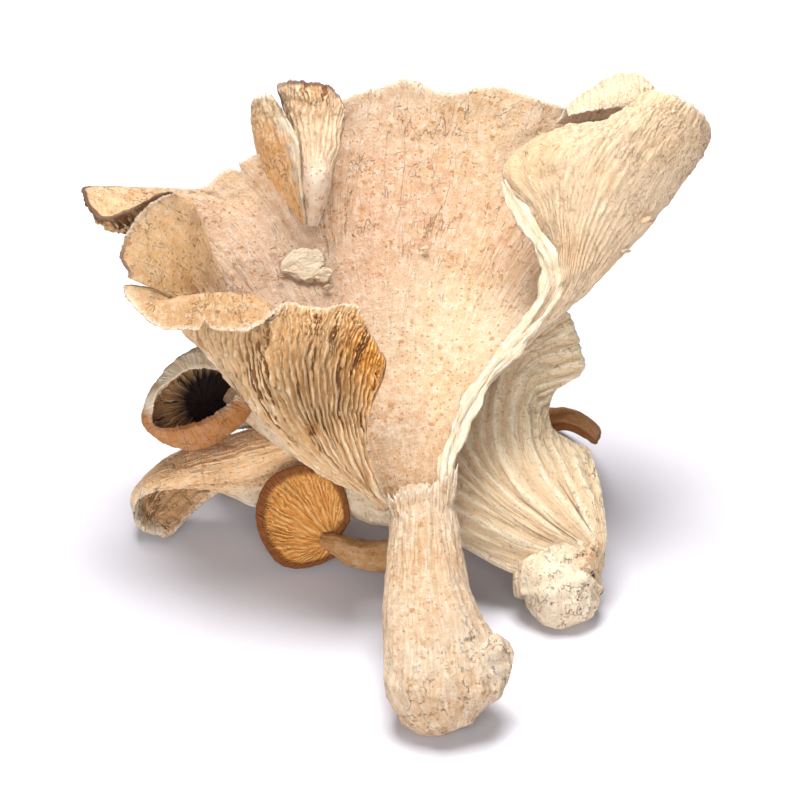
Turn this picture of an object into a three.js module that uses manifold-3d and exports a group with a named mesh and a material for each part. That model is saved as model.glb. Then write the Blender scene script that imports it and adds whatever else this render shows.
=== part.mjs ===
// An oyster mushroom cluster, dried: seven fruit bodies grown from a common root, lying on its stem bases and
// its low caps.
import * as THREE from "three";
import { mergeVertices } from "three/addons/utils/BufferGeometryUtils.js";
import Module from "manifold-3d";

const wasm = await Module();
wasm.setup();

// Driving dimensions, in millimetres. Every net below is written in a frame that leans back by LEAN degrees:
// [x to the right, u up the slope, d away], so that the big cap lies nearly flat in it.
const LEAN = THREE.MathUtils.degToRad(35);
const ROOT_HEIGHT = 53.8; // height of the nets' origin over the floor
const GAP = 0.3; // left between two fruit bodies where they press together
const MERGE = 1e-3; // vertices closer than this are one
const FULL_REACH = 16; // a spoke shorter than this swells less
const ROOT_SHARE = 0.12; // a fanned spoke starts this far along, inside the stem
const ROOT_THICKNESS = 0.35; // share of its thickness that a cap starts with at its root
const ROOT_THICKENING = 2.6; // and how fast it thickens from there
const RIM_TAPER = 1.5; // the power by which a cap thins towards its rim
const GILL_START = 0.12; // share of a spoke over which a gill rises from the root
const GILL_END = 0.06; // and over which it fades at the rim
const SIDE_FADE = 3; // columns over which the gills fade towards a cap's free side
const SMOOTHING = 2; // passes that even out the directions in which a cap is thickened
const OVERREACH = 1.2; // a grown cap's edges move out this many times as far as its faces
const STEM_SIDES = 20;
const STEM_RIDGE = 0.03; // share of its radius by which every second side of a stem stands out
const FLESH = { large: 2, right: 2.3, curled: 1.8, tongue: 1.9, amber: 1.6, brown: 2.2, grey: 1.8 };
const RIM = 1.1; // thickness at the rim of a cap
const GILL = { large: 0.8, right: 0.7, curled: 0.8, tongue: 0.8, amber: 0.8, brown: 0.6, grey: 0.6 };

const LARGE_CAP = [
  // the gilled front-left lobe, from its free right edge
  [
    [-1.6, -21, 17], [-4.4, -16.4, 14], [-6.6, -11, 12.5], [-6.8, -6, 11.5],
    [-5.8, -1.6, 10.5], [-4.2, 2, 10], [-3, 5.2, 9.5], [-2.6, 8.2, 9.5],
  ],
  [
    [-2, -21.4, 17.5], [-5.2, -16.8, 13.5], [-8, -11.6, 11], [-9.4, -6.4, 9.5],
    [-9.6, -1, 8.5], [-8.8, 4.4, 8], [-7.4, 9.4, 8], [-5.8, 13.8, 8.5],
  ],
  [
    [-2.4, -21.6, 18], [-5.6, -17, 14], [-9.4, -12, 10.5], [-11.8, -6.4, 8.5],
    [-12.8, -0.4, 7.5], [-12.6, 6, 7], [-11, 12.8, 7.5], [-8.6, 19.2, 9],
  ],
  [
    [-2.8, -21.8, 18.5], [-6, -17.4, 14.5], [-11, -12.2, 11], [-14.6, -6.4, 8.5],
    [-16.8, -0.4, 7], [-17.8, 6, 6.5], [-17.4, 12.6, 7], [-16, 18.6, 9],
  ],
  [
    [-3.2, -22, 19], [-6.4, -17.8, 15.5], [-12.6, -12.4, 12], [-17.6, -6.6, 9.5],
    [-21, -0.8, 8], [-23.2, 5.4, 7], [-23.8, 12.4, 7.5], [-23, 19.6, 9.5],
  ],
  // the lip folded down over the gills
  [
    [-3.6, -22, 19.5], [-6.6, -18.2, 16.5], [-14.4, -12.6, 13.5], [-20.8, -6.4, 11.5],
    [-26, 0.6, 10], [-28.4, 10, 9.5], [-27.6, 20, 9.5], [-25, 16.6, 5.5],
  ],
  [
    [-4, -22, 20], [-6.8, -18.4, 17.5], [-15.6, -12.8, 15.5], [-23.4, -5.4, 13.5],
    [-29.2, 2, 12], [-32.8, 11, 11], [-32.8, 20.8, 9.5], [-29.8, 13.4, 4.5],
  ],
  [
    [-4.2, -22, 20.5], [-6.8, -18.4, 19], [-16.8, -12.4, 18.5], [-26, -3.4, 17.5],
    [-32.8, 4.6, 16], [-37.6, 13, 14], [-39, 21, 10.5], [-38.4, 13.6, 6],
  ],
  [
    [-4.4, -21.8, 21], [-6.8, -18.2, 20.5], [-17.6, -11.4, 21.5], [-27.6, -1.4, 21.5],
    [-35.6, 7.2, 20], [-42, 14.4, 17.5], [-45.4, 19.8, 13], [-47.2, 13.8, 8.5],
  ],
  [
    [-4.6, -21.6, 21.5], [-6.8, -18, 21.5], [-18, -10.2, 24], [-28.4, 1, 25.5],
    [-37, 10, 24], [-44, 16.6, 20.5], [-49, 19.6, 16], [-52.8, 18.2, 12],
  ],
  // the rounded left lobe
  [
    [-4.6, -21.4, 22], [-6.8, -17.8, 22], [-18.2, -9.2, 26], [-28.8, 3, 28],
    [-37.2, 12.4, 26.5], [-43.6, 18.6, 23], [-50, 21.4, 18.5], [-55.2, 22.2, 14.5],
  ],
  [
    [-4.6, -21.2, 22.2], [-6.8, -17.6, 22.3], [-18.4, -8.4, 26.6], [-29, 4.2, 28.8],
    [-37.4, 13.8, 27], [-43.4, 19.6, 23.2], [-49.6, 23.4, 18], [-54.2, 25.2, 14],
  ],
  [
    [-4.6, -21, 22.4], [-6.8, -17.4, 22.6], [-18.4, -7.6, 27.2], [-29, 5.6, 30],
    [-37.2, 15.6, 28.5], [-43.2, 22, 24], [-49.6, 26.4, 17.5], [-55.8, 28.6, 12],
  ],
  [
    [-4.6, -20.8, 22.6], [-6.6, -17.2, 22.8], [-18.4, -6.8, 27.8], [-28.6, 7.4, 31.5],
    [-36.4, 18.2, 30], [-41.4, 26, 24.5], [-46.6, 32, 16.5], [-53, 35.4, 10],
  ],
  [
    [-4.4, -20.6, 22.8], [-6.4, -17, 23], [-18, -5.8, 28.4], [-28, 9.4, 32.8],
    [-35.6, 21, 31.5], [-39.6, 30, 25.5], [-43, 36.4, 16], [-48.6, 39.6, 9],
  ],
  [
    [-4.2, -20.4, 23], [-6.2, -16.8, 23.2], [-17.6, -4.8, 29], [-27.4, 11, 33.8],
    [-35, 23, 33], [-39, 32.4, 28.5], [-41.6, 38.8, 18.5], [-45, 41, 10.5],
  ],
  // the hollow between the lobe and the horn
  [
    [-4, -20.2, 23.2], [-6, -16.6, 23.4], [-17.2, -4, 29.4], [-27.2, 12, 34.4],
    [-35.2, 24.2, 34], [-40.4, 33, 31], [-44.6, 38.4, 24], [-47.6, 41.2, 15],
  ],
  [
    [-3.8, -20, 23.4], [-5.8, -16.4, 23.6], [-16.8, -3.2, 29.8], [-27, 13.2, 35],
    [-36, 25, 35], [-43, 32.4, 31], [-50, 36.6, 24], [-54, 38, 16.5],
  ],
  // the horn
  [
    [-3.6, -20, 23.5], [-5.6, -16.2, 23.8], [-16.4, -2.4, 30.2], [-27, 14.2, 35.5],
    [-37, 25.6, 36], [-46, 32.6, 32.5], [-54.6, 34.6, 26], [-60, 36.4, 18],
  ],
  [
    [-3.4, -20, 23.6], [-5.4, -16, 24], [-16, -1.4, 30.6], [-26.8, 15.4, 36.2],
    [-37, 27.4, 37], [-46.6, 35, 34.5], [-56, 39, 29.5], [-63.8, 42, 22.5],
  ],
  [
    [-3.2, -20, 23.7], [-5.2, -15.8, 24.2], [-15.6, -0.4, 31], [-26, 17, 37],
    [-35.6, 29.6, 38.5], [-44.4, 37.4, 37.5], [-53, 40.6, 34.5], [-60.6, 43, 31],
  ],
  // the back rim as far as the pleat
  [
    [-2.8, -20, 23.8], [-4.8, -15.6, 24.4], [-14.6, 1, 31.6], [-24, 19.6, 38.2],
    [-32, 32.6, 40.4], [-38.6, 39.6, 40.6], [-43.4, 41.6, 40], [-47, 43, 39],
  ],
  [
    [-2.4, -20, 23.9], [-4.4, -15.4, 24.6], [-13, 3, 32.2], [-21.2, 22, 39],
    [-28, 34.6, 41.4], [-33.6, 39.8, 41.8], [-37.4, 42, 41.4], [-40.4, 43.2, 40.8],
  ],
  [
    [-2, -20, 24], [-3.8, -15.2, 24.7], [-11.2, 4.6, 32.8], [-18, 23.6, 39.4],
    [-24, 35.6, 42], [-28.8, 41.6, 42.4], [-32.4, 45.2, 42], [-35, 47.4, 41.4],
  ],
  [
    [-1.6, -20, 24], [-3, -15, 24.7], [-9.2, 6, 33.2], [-14.8, 24.6, 39.6],
    [-19.2, 33, 40.6], [-23, 39.4, 41.2], [-26.6, 45.6, 41.2], [-29.2, 50, 41],
  ],
  // the broad back rim
  [
    [-0.2, -20, 24], [-1.8, -15, 24.7], [-8, 8.4, 33.6], [-12.6, 28.6, 40.6],
    [-13, 41, 42.6], [-12, 50.6, 43.4], [-11.2, 57, 43.2], [-10.8, 61.6, 42.8],
  ],
  [
    [0.4, -20, 24], [-1, -14.8, 24.7], [-5.6, 9.6, 33.8], [-7.6, 30, 41],
    [-6.8, 43.4, 43.4], [-5.2, 53, 44.2], [-4, 59.6, 43.8], [-3.4, 63.8, 43],
  ],
  [
    [1, -20, 24], [0.4, -14.6, 24.6], [-2.2, 10.8, 33.9], [-2.4, 31, 41.2],
    [-0.8, 44.6, 43.8], [0.2, 54.6, 44.4], [1, 61.2, 44], [1.4, 65.4, 43],
  ],
  [
    [1.6, -20, 24], [1.6, -14.4, 24.5], [1.6, 11.6, 33.8], [3.4, 31.6, 41.2],
    [5.8, 45, 43.8], [7.4, 54.2, 44.2], [8.6, 59.6, 43.4], [9.4, 62.6, 42.4],
  ],
  [
    [2.2, -20, 23.9], [2.8, -14.2, 24.3], [5.2, 12, 33.6], [9, 31.8, 41],
    [12.6, 44.6, 43.4], [15.2, 53.6, 43.6], [17.4, 59.6, 42.8], [19, 63.8, 41.8],
  ],
  [
    [2.8, -20, 23.8], [4, -14, 24.1], [8.8, 12, 33.2], [14.6, 31.4, 40.4],
    [19.6, 43.6, 42.8], [23.4, 52.2, 42.8], [26.4, 57.8, 42], [28.4, 61.2, 41],
  ],
  // the right side, passing below the roll
  [
    [3.2, -20, 23.6], [5, -14, 23.8], [12, 11.8, 32.6], [19.6, 30.4, 39.6],
    [26, 42, 42], [30.6, 50.2, 42], [34, 55.4, 41], [36.2, 58.6, 40],
  ],
  [
    [3.6, -20, 23.4], [5.8, -14, 23.4], [14.8, 11.2, 31.8], [23.4, 28.6, 38.4],
    [31.2, 39.6, 41], [37.4, 47.4, 41.4], [41.6, 53.2, 40.8], [44, 57.4, 39.6],
  ],
  // round the outside of the roll
  [
    [4.4, -20, 22.8], [7, -13.8, 22.4], [18, 8, 28.8], [30.8, 23, 33.6],
    [42, 33.2, 36.6], [51.6, 42.6, 38.4], [57.4, 49.6, 38], [60.2, 53.2, 36.4],
  ],
  [
    [4.8, -20, 22.2], [7.8, -13.7, 21.8], [18.2, 6, 27.2], [33.6, 20.6, 30.4],
    [44.8, 31, 31.6], [54.2, 41.4, 32.4], [60, 49.8, 31.6], [62.4, 54, 30],
  ],
  [
    [5.1, -20, 21.6], [8.3, -13.6, 21.2], [18, 5, 25.8], [34.2, 19.8, 27.4],
    [44.6, 31.4, 26], [52.8, 42.8, 25.4], [58.8, 52, 25], [61.2, 57, 24.8],
  ],
  // the near side of the roll, to its torn edge
  [
    [5.3, -20, 21], [8.7, -13.4, 20.6], [17.8, 4.8, 24.4], [33.8, 20.8, 24.8],
    [41, 34.6, 21.8], [46.6, 45, 20.4], [52, 54, 20], [57, 60.2, 21.4],
  ],
  [
    [5.5, -20, 20.4], [9, -13.2, 20], [17.4, 4.8, 23.2], [33, 22.2, 23.4],
    [36.8, 37.6, 20.6], [40.4, 47.4, 19], [45.4, 55.4, 19], [50.6, 62, 21.4],
  ],
  [
    [5.6, -20, 19.8], [9.2, -13, 19.4], [17, 5, 22.2], [32.2, 23.8, 23],
    [32.4, 39.6, 21.8], [33.4, 48.6, 20.6], [38.4, 53.8, 20.8], [44, 56.6, 22.2],
  ],
  [
    [5.6, -20, 19.2], [9.2, -12.8, 18.8], [16.6, 5.2, 21.4], [31.4, 25.2, 23.8],
    [27.4, 37.4, 25.6], [20.4, 45.4, 28.4], [25.4, 51.4, 29.4], [35.4, 55.2, 28.4],
  ],
];

// The torn pleat in the back rim: a left flap standing up, and a right flap turned over, gills to the front.
const LEFT_FLAP = [
  [[-19.6, 35.4, 41.2], [-25, 42, 42.4], [-28.2, 50, 42.2], [-29.6, 57, 40]],
  [[-19.4, 35.4, 40.6], [-23.8, 43, 40], [-27.4, 52, 38.4], [-29.4, 60.6, 36.4]],
  [[-19.2, 35.4, 40], [-22.6, 43.6, 37.2], [-25.6, 53, 34.8], [-27.8, 61.8, 33.6]],
  [[-19, 35.4, 39.4], [-21.2, 44, 34.8], [-23.2, 53, 32.2], [-26, 61.8, 32.4]],
  [[-19, 35.4, 39], [-20, 44.4, 33.2], [-20.6, 52, 31], [-24.4, 59.4, 31.6]],
];
const RIGHT_FLAP = [
  [[-18.8, 35, 40.6], [-20.6, 43, 38], [-22, 53, 37.4], [-25, 64, 38]],
  [[-18.6, 35, 39.8], [-19.2, 43.6, 35], [-20.6, 53.6, 34.6], [-22, 64.8, 35.4]],
  [[-18.2, 35, 39.2], [-17.6, 43.6, 33], [-17.6, 53.4, 32.6], [-18.4, 64.4, 33.6]],
  [[-17.6, 35, 39], [-16, 43.6, 33], [-14.6, 53, 32.4], [-14, 63.6, 33.4]],
  [[-17, 35, 39.2], [-14.8, 43.4, 34.4], [-12.6, 52.6, 33.6], [-11.6, 60.4, 34]],
  [[-16.6, 35, 39.8], [-14.4, 43, 37], [-12.8, 51.6, 36.4], [-11.4, 58, 36.8]],
];

// The lip that curls over the mouth of the roll.
const ROLL_LIP = [
  [[31.4, 55.6, 36.4], [33, 57.6, 35], [33.4, 58.2, 32], [33.6, 57.6, 29.8], [33.8, 56.8, 28.6]],
  [[35.4, 56, 38], [36.4, 60, 35.6], [37, 60.8, 31.6], [37.4, 59.6, 28.4], [37.8, 57.6, 26.8]],
  [[38.6, 56.4, 39], [39.6, 62, 35.6], [40.2, 62.8, 31], [40.8, 60.8, 27.4], [41.2, 58, 25.8]],
  [[42, 56.6, 39], [43.4, 63.8, 35.6], [44.2, 64.8, 31], [45, 62.4, 26.8], [45.4, 58.4, 25.2]],
  [[46, 56.4, 38.4], [47.2, 63.4, 35.4], [48, 64.6, 31.2], [48.6, 62.4, 27.4], [48.4, 59, 25.4]],
  [[49.6, 57, 37], [50.6, 61, 34], [51.2, 61.8, 31], [51.4, 61.2, 28.6], [51, 60.4, 27]],
];

// The torn edge where the stem meets the hollow of the cap.
const COLLAR = [
  [[-0.6, -25.6, 12.4], [-2, -21.6, 13.2], [-3.4, -18, 15.4]],
  [[1.2, -26, 10.4], [0.2, -21.6, 11.2], [-0.8, -17.4, 13.2]],
  [[3.4, -26.2, 9.2], [2.8, -21.2, 10.4], [2.2, -16.4, 12.6]],
  [[5.6, -26.2, 9], [5.8, -20.6, 10.4], [6, -15.4, 12.8]],
  [[8, -25.6, 10], [8.8, -19.6, 11.4], [9.2, -13.6, 14]],
  [[10, -24.4, 12.6], [11.2, -17.6, 14], [11.6, -11.2, 16.2]],
];

const RIGHT_FAN = [
  [
    [38.6, -35, 30], [40.6, -29, 30.5], [40.6, -23, 31.5], [40, -17, 33.5],
    [38.8, -11.8, 36], [38.5, -10.6, 36.75], [38.2, -9.4, 37.5],
  ],
  [
    [38.4, -35.2, 29], [40, -29, 29.5], [39, -22.4, 30], [37, -16, 32],
    [34.8, -10.4, 35], [34.1, -8.9, 36.0], [33.4, -7.4, 37],
  ],
  [
    [38, -35.2, 28.6], [39.4, -29, 29], [37.4, -22.4, 29], [34.6, -16, 31],
    [32, -10, 34.5], [31.0, -7.2, 36.25], [30, -4.4, 38],
  ],
  [
    [37.6, -35.2, 28.4], [38.8, -29.2, 28.8], [35.6, -22.4, 29.5], [31.2, -15.6, 31.5],
    [27.6, -8, 35], [27.8, -1, 38.6], [31.8, 2.2, 42],
  ],
  [
    [37.2, -35, 28.2], [38.4, -29.4, 28.4], [33.6, -22.6, 28.8], [28.2, -15.8, 30.8],
    [25, -7, 34.5], [26.6, 3, 39.2], [37.6, 6, 43],
  ],
  [
    [37, -35, 28], [38, -29.8, 28], [32, -23, 28.2], [25.8, -16.2, 30.2],
    [22.4, -6.6, 34], [25.4, 6, 39], [36.8, 11.4, 43],
  ],
  [
    [36.8, -35, 28], [37.6, -30, 27.8], [30.8, -23.4, 27.8], [23.6, -16.6, 29.6],
    [19.8, -6.8, 33.6], [22.6, 7.6, 39], [34, 18, 43],
  ],
  [
    [36.4, -35, 28], [37.2, -30.4, 27.8], [29.2, -24, 28.2], [21.6, -17.4, 29.6],
    [16.8, -8.4, 33.5], [18.4, 4.6, 39], [26, 15, 43],
  ],
  [
    [36, -35, 28], [36.8, -30.8, 27.8], [28, -25, 27.8], [19.4, -18.6, 28.8],
    [13.2, -10.8, 32.5], [11.4, 0.6, 38.5], [15.6, 11, 43.5],
  ],
  [
    [35.6, -35.4, 28], [36.4, -31.4, 27.8], [26.6, -26.2, 28], [17.4, -20, 29],
    [10, -13, 32.5], [5, -4, 38.5], [4, 6, 43.5],
  ],
  [
    [35.2, -35.8, 28.2], [36, -32, 28], [25.4, -27.4, 28], [15.6, -22, 28.6],
    [7.2, -16.4, 31.5], [0.4, -9.4, 36.5], [-4, -1, 42],
  ],
  [
    [34.8, -36, 28.4], [35.6, -32.8, 28.4], [24.6, -30.6, 28.6], [14.4, -26, 29.2],
    [5, -20.4, 31.5], [-3, -16.4, 35.5], [-9.6, -12, 40],
  ],
  [
    [34.4, -37, 29], [34, -36, 29.4], [23.4, -35, 30], [15.4, -31, 31],
    [6.6, -26.6, 32], [-0.6, -25, 34.5], [-6.6, -24.4, 38],
  ],
];

const CURLED = [
  [[-40, -0.4, 50], [-44.9, -2.2, 49], [-50, -4, 45.5], [-51.6, -4.6, 40], [-49.6, -4.6, 36.5]],
  [[-40, -0.4, 50], [-44.6, -0.2, 49], [-49.5, -0.1, 45.5], [-51, 0, 40], [-48.6, 2, 36]],
  [[-40, -0.4, 50], [-43.4, 1.7, 49], [-46.9, 3.9, 45.5], [-48, 4.6, 40], [-45.6, 4.2, 35.6]],
  [[-40, -0.4, 50], [-41.7, 3.4, 49], [-43.4, 7.3, 45.5], [-44, 8.6, 40], [-42.4, 6, 35.6]],
  [[-40, -0.4, 50], [-39.4, 4.2, 49], [-38.8, 9.1, 45.5], [-38.6, 10.6, 40], [-38, 6, 36]],
  [[-40, -0.4, 50], [-37.2, 3.7, 49], [-34.3, 8, 45.5], [-33.4, 9.4, 40.4], [-35, 4.8, 36.8]],
  [[-40, -0.4, 50], [-35.6, 2, 49], [-31.1, 4.6, 45.5], [-29.6, 5.4, 41], [-32.4, 3, 38]],
  [[-40, -0.4, 50], [-35.5, -0.2, 49], [-30.9, -0.1, 45.5], [-29.4, 0, 41], [-33.4, 1, 38.4]],
  [[-40, -0.4, 50], [-36.6, -1.7, 49], [-33.1, -3.2, 45.5], [-32, -3.6, 40], [-36, -1.4, 37]],
  [[-40, -0.4, 50], [-38.6, -3.4, 49], [-37.1, -6.6, 45.5], [-36.6, -7.6, 39.4], [-40, -3.8, 35.8]],
  [[-40, -0.4, 50], [-41.1, -4.3, 49], [-42.2, -8.3, 45.5], [-42.6, -9.6, 39], [-44.6, -5, 35.2]],
  [[-40, -0.4, 50], [-43.4, -3.6, 49], [-46.9, -6.9, 45.5], [-48, -8, 39.4], [-48.2, -5.4, 35.6]],
];

const TONGUE = [
  // the wall behind the fold
  [
    [-17.8, -10.2, 45.4], [-22, -9, 49.6], [-27.6, -12, 52.6], [-33, -16, 54],
    [-38, -19.6, 54], [-42.4, -23.2, 53.4], [-46.4, -27.4, 52], [-48.4, -28, 50.6],
  ],
  [
    [-17.8, -10.4, 44], [-22, -7.4, 47], [-27.6, -6.2, 50], [-35, -8, 52.6],
    [-43, -10.4, 55], [-49.6, -14.4, 56], [-53, -20.6, 55], [-51.6, -27.4, 52.4],
  ],
  [
    [-17.8, -10.4, 43], [-22, -8, 44.5], [-27.6, -7.4, 46], [-35, -9.4, 47.5],
    [-43, -11.4, 49], [-50, -14.4, 50.5], [-54.4, -20, 51.4], [-53.6, -25.6, 50.4],
  ],
  [
    [-17.8, -10.8, 42], [-21.8, -9.2, 42.5], [-27.2, -9.4, 43], [-34.6, -11.4, 44],
    [-42.6, -13.4, 45.5], [-49.4, -15.6, 46.6], [-53, -18.4, 47.6], [-53.8, -21.4, 48.2],
  ],
  [
    [-17.8, -11.4, 41.5], [-21.6, -10.6, 41.5], [-26.6, -11.8, 42], [-34, -14, 43],
    [-41.6, -15.2, 44.2], [-47, -16.6, 45], [-50, -17.8, 45.8], [-51, -19.4, 46.4],
  ],
  [
    [-17.8, -12, 42], [-21.4, -11.8, 42.5], [-26, -13.6, 43], [-33, -15.6, 44],
    [-39.6, -16.2, 44.8], [-44, -17, 45.2], [-46.6, -17.6, 45.6], [-47.8, -18.4, 46.2],
  ],
  [
    [-17.8, -13.2, 44.5], [-21.2, -13.8, 45.5], [-25.8, -15.6, 46.5], [-31.6, -16.6, 46.8],
    [-36.6, -17, 47], [-40, -17.4, 47], [-42, -17.6, 47.2], [-43.4, -18, 47.6],
  ],
  // the pale underside that shows below the front edge
  [
    [-17.8, -14.6, 48], [-21.2, -15.6, 49], [-25, -17.6, 50.5], [-28.8, -21.6, 51.6],
    [-33, -20, 52], [-36.4, -18.6, 51.6], [-38.4, -18.2, 51.2], [-39.6, -18, 50.8],
  ],
];

const AMBER_RIM = [
  [-10, -24.4, 40], [-10.6, -20, 39], [-12.4, -16.2, 38],
  [-15, -13.6, 37.5], [-18.6, -12.9, 37.5], [-22.6, -13.7, 37.8],
  [-26.2, -15.6, 38.2], [-28.4, -19, 38.8], [-29.2, -22.6, 39.8], [-28.8, -26.4, 41], [-27.2, -30, 42.2],
  [-24.6, -33.2, 43.3], [-21.4, -34.2, 43.7], [-17, -33.6, 43.4],
  [-12.8, -31.8, 42.6], [-10.4, -30.4, 42],
];

const BROWN_RIM = [
  [40, -9.2, 50], [41, -7.6, 56], [41, -6, 64], [39.4, -5, 73], [36, -4.8, 81],
  [30, -4.8, 86], [23, -4.8, 87], [16, -4.8, 84], [12, -5.4, 76],
];

const GREY_RIM = [
  [-37.4, -8.6, 54], [-39.6, -7.6, 61], [-39, -6.6, 69], [-36.4, -6, 77], [-31.6, -5.6, 83],
  [-25.6, -5.6, 85.6], [-19.4, -5.8, 84.6],
];

// Stem sections: [x, u, d, half width, half depth], from the base up.
const LARGE_STEM = [
  [10.6, -65, -1.6, 4, 3],
  [9.4, -61.6, -1.4, 9.6, 7.4],
  [8.8, -56.6, -1, 12.4, 9.2],
  [8, -51.4, 0.2, 11.8, 9],
  [6.8, -46, 2.4, 10.4, 8.4],
  [5.6, -39.6, 5.8, 9, 7.4],
  [5.2, -32.4, 10, 8, 6.6],
  [5, -26, 13.6, 7.2, 6.2],
  [4.4, -22, 16.2, 6.8, 5.4],
  [4, -19.6, 19.4, 5.4, 3.6],
  [4, -18.6, 22.4, 2.4, 1.4],
];
const FOOT_SHELF = [
  [8, -52, 0, 3, 3],
  [13, -51.6, -1, 5.6, 5.2],
  [18, -51.8, -1.4, 6, 5.4],
  [21.8, -52.6, -1.2, 3.2, 3],
];
const RIGHT_BASE = [
  [30.4, -45.4, 29, 3, 3],
  [31, -43, 28.8, 5.8, 5.6],
  [31.8, -40, 28.8, 8.2, 7],
  [31.8, -37, 29.4, 9.6, 7.4],
  [33, -34, 30.6, 9.4, 6.2],
  [35.4, -31.2, 31, 7.4, 5],
  [37.6, -29, 31, 5, 4.4],
  [39.2, -26.6, 31.2, 2.4, 2.4],
];
const HUB = [
  [-17, -13.6, 46.4, 2.4, 2.4],
  [-12.4, -16.4, 46, 5, 4.6],
  [-6, -18.6, 43, 6.6, 6],
  [2, -19, 38, 7, 6.4],
  [10, -19.6, 34, 6.2, 5.6],
  [17, -20.4, 32.4, 4, 3.6],
  [23, -22, 31.4, 1.8, 1.6],
];
const CURLED_STEM = [
  [-33.6, 2.2, 46.6, 3.6, 3],
  [-28.6, -1.4, 44.6, 4.2, 3.4],
  [-23, -6, 42.6, 4, 3.4],
  [-17, -10, 40.6, 3.8, 3.4],
  [-11, -13.4, 38, 3.6, 3.2],
];
const TONGUE_STEM = [
  [-21, -10.4, 45.4, 2.4, 3],
  [-16.4, -11.6, 44, 2.8, 2.8],
  [-10.6, -14.4, 40.6, 3, 3],
];
const AMBER_STEM = [
  [-16, -28, 41.8, 1.4, 1.4],
  [-13, -29.2, 41.4, 2.6, 2.6],
  [-9, -30.8, 40.4, 3.2, 3.2],
  [-4, -31.4, 38.4, 3.4, 3.4],
  [1.6, -30, 35, 3.2, 3.2],
  [6, -26, 31.6, 3, 3],
];
const BROWN_STEM = [
  [30, -6, 58, 2.4, 3],
  [26.4, -9, 52, 4, 4],
  [20, -13, 46.6, 4.2, 4.4],
  [12.6, -17, 41, 4.4, 4.8],
  [7, -19.4, 36, 4, 4.4],
];
const GREY_STEM = [
  [-25, -6.6, 58, 2.6, 2.6],
  [-21.4, -9.6, 52.6, 4, 3.6],
  [-15.6, -13.4, 48, 4.2, 4],
  [-10, -16.6, 43, 4.4, 4.2],
];

const AMBER_ROOT = [-13, -28.6, 41.4];
const BROWN_ROOT = [26, -9.4, 49];
const GREY_ROOT = [-20, -9, 51];


// A net point in the upright frame: z up, y away.
function place([x, u, d]) {
  return new THREE.Vector3(
    x,
    u * Math.sin(LEAN) + d * Math.cos(LEAN),
    u * Math.cos(LEAN) - d * Math.sin(LEAN) + ROOT_HEIGHT,
  );
}

// The half-space behind a plane, for trimByPlane: facing is the way its cut face looks, in the nets' frame.
function planeThrough(point, facing) {
  const normal = place(facing).sub(place([0, 0, 0])).normalize().negate();
  return [normal.toArray(), normal.dot(place(point))];
}

function resample(points, count) {
  const curve = new THREE.CatmullRomCurve3(points, false, "centripetal");
  return Array.from({ length: count + 1 }, (_, k) => curve.getPoint(k / count));
}

// The middle surface of a cap: spokes are resampled from root to rim, then across from spoke to spoke.
function middle(net, perGap, rows, closed) {
  const spokes = (closed ? [...net, net[0]] : net).map((spoke) => resample(spoke.map(place), rows));
  const columns = (spokes.length - 1) * perGap;
  const bands = [];
  for (let r = 0; r <= rows; r++) {
    const ring = spokes.map((spoke) => spoke[r]);
    if (closed) {
      const loop = new THREE.CatmullRomCurve3(ring.slice(0, -1), true, "centripetal");
      bands.push(Array.from({ length: columns }, (_, c) => loop.getPoint(c / columns)));
    } else {
      bands.push(resample(ring, columns));
    }
  }
  return bands;
}

// Unit normals of the middle surface, by the differences between neighbours, evened out across the spokes.
function normalsOf(bands, closed) {
  const rows = bands.length;
  const count = bands[0].length;
  const column = (c) => (closed ? (c + count) % count : THREE.MathUtils.clamp(c, 0, count - 1));
  const found = bands.map((band, r) =>
    band.map((_, c) => {
      const across = new THREE.Vector3().subVectors(band[column(c + 1)], band[column(c - 1)]);
      const along = new THREE.Vector3().subVectors(
        bands[Math.min(r + 1, rows - 1)][c],
        bands[Math.max(r - 1, 0)][c],
      );
      return across.cross(along).normalize();
    }),
  );
  for (let pass = 0; pass < SMOOTHING; pass++) {
    const old = found.map((band) => band.map((n) => n.clone()));
    found.forEach((band, r) =>
      band.forEach((n, c) => {
        n.add(old[r][column(c - 1)]).add(old[r][column(c + 1)]).normalize();
      }),
    );
  }
  if (closed) {
    const pole = found[1].reduce((sum, n) => sum.add(n), new THREE.Vector3()).normalize();
    found[0] = found[0].map(() => pole.clone());
  }
  return found;
}

// A closed solid from vertex positions and triangles; coincident vertices are merged first.
function solidFrom(points, triangles) {
  const seen = new Map();
  const kept = [];
  const index = points.map((p) => {
    const key = [p.x, p.y, p.z].map((v) => Math.round(v * 1e3)).join();
    if (!seen.has(key)) {
      seen.set(key, kept.length / 3);
      kept.push(p.x, p.y, p.z);
    }
    return seen.get(key);
  });
  const faces = triangles
    .map((t) => t.map((v) => index[v]))
    .filter(([a, b, c]) => a !== b && b !== c && c !== a);
  const vertProperties = new Float32Array(kept);
  const made = (list) => {
    const mesh = new wasm.Mesh({ numProp: 3, vertProperties, triVerts: new Uint32Array(list.flat()) });
    return new wasm.Manifold(mesh);
  };
  const solid = made(faces);
  return solid.volume() < 0 ? made(faces.map(([a, b, c]) => [a, c, b])) : solid;
}

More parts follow.
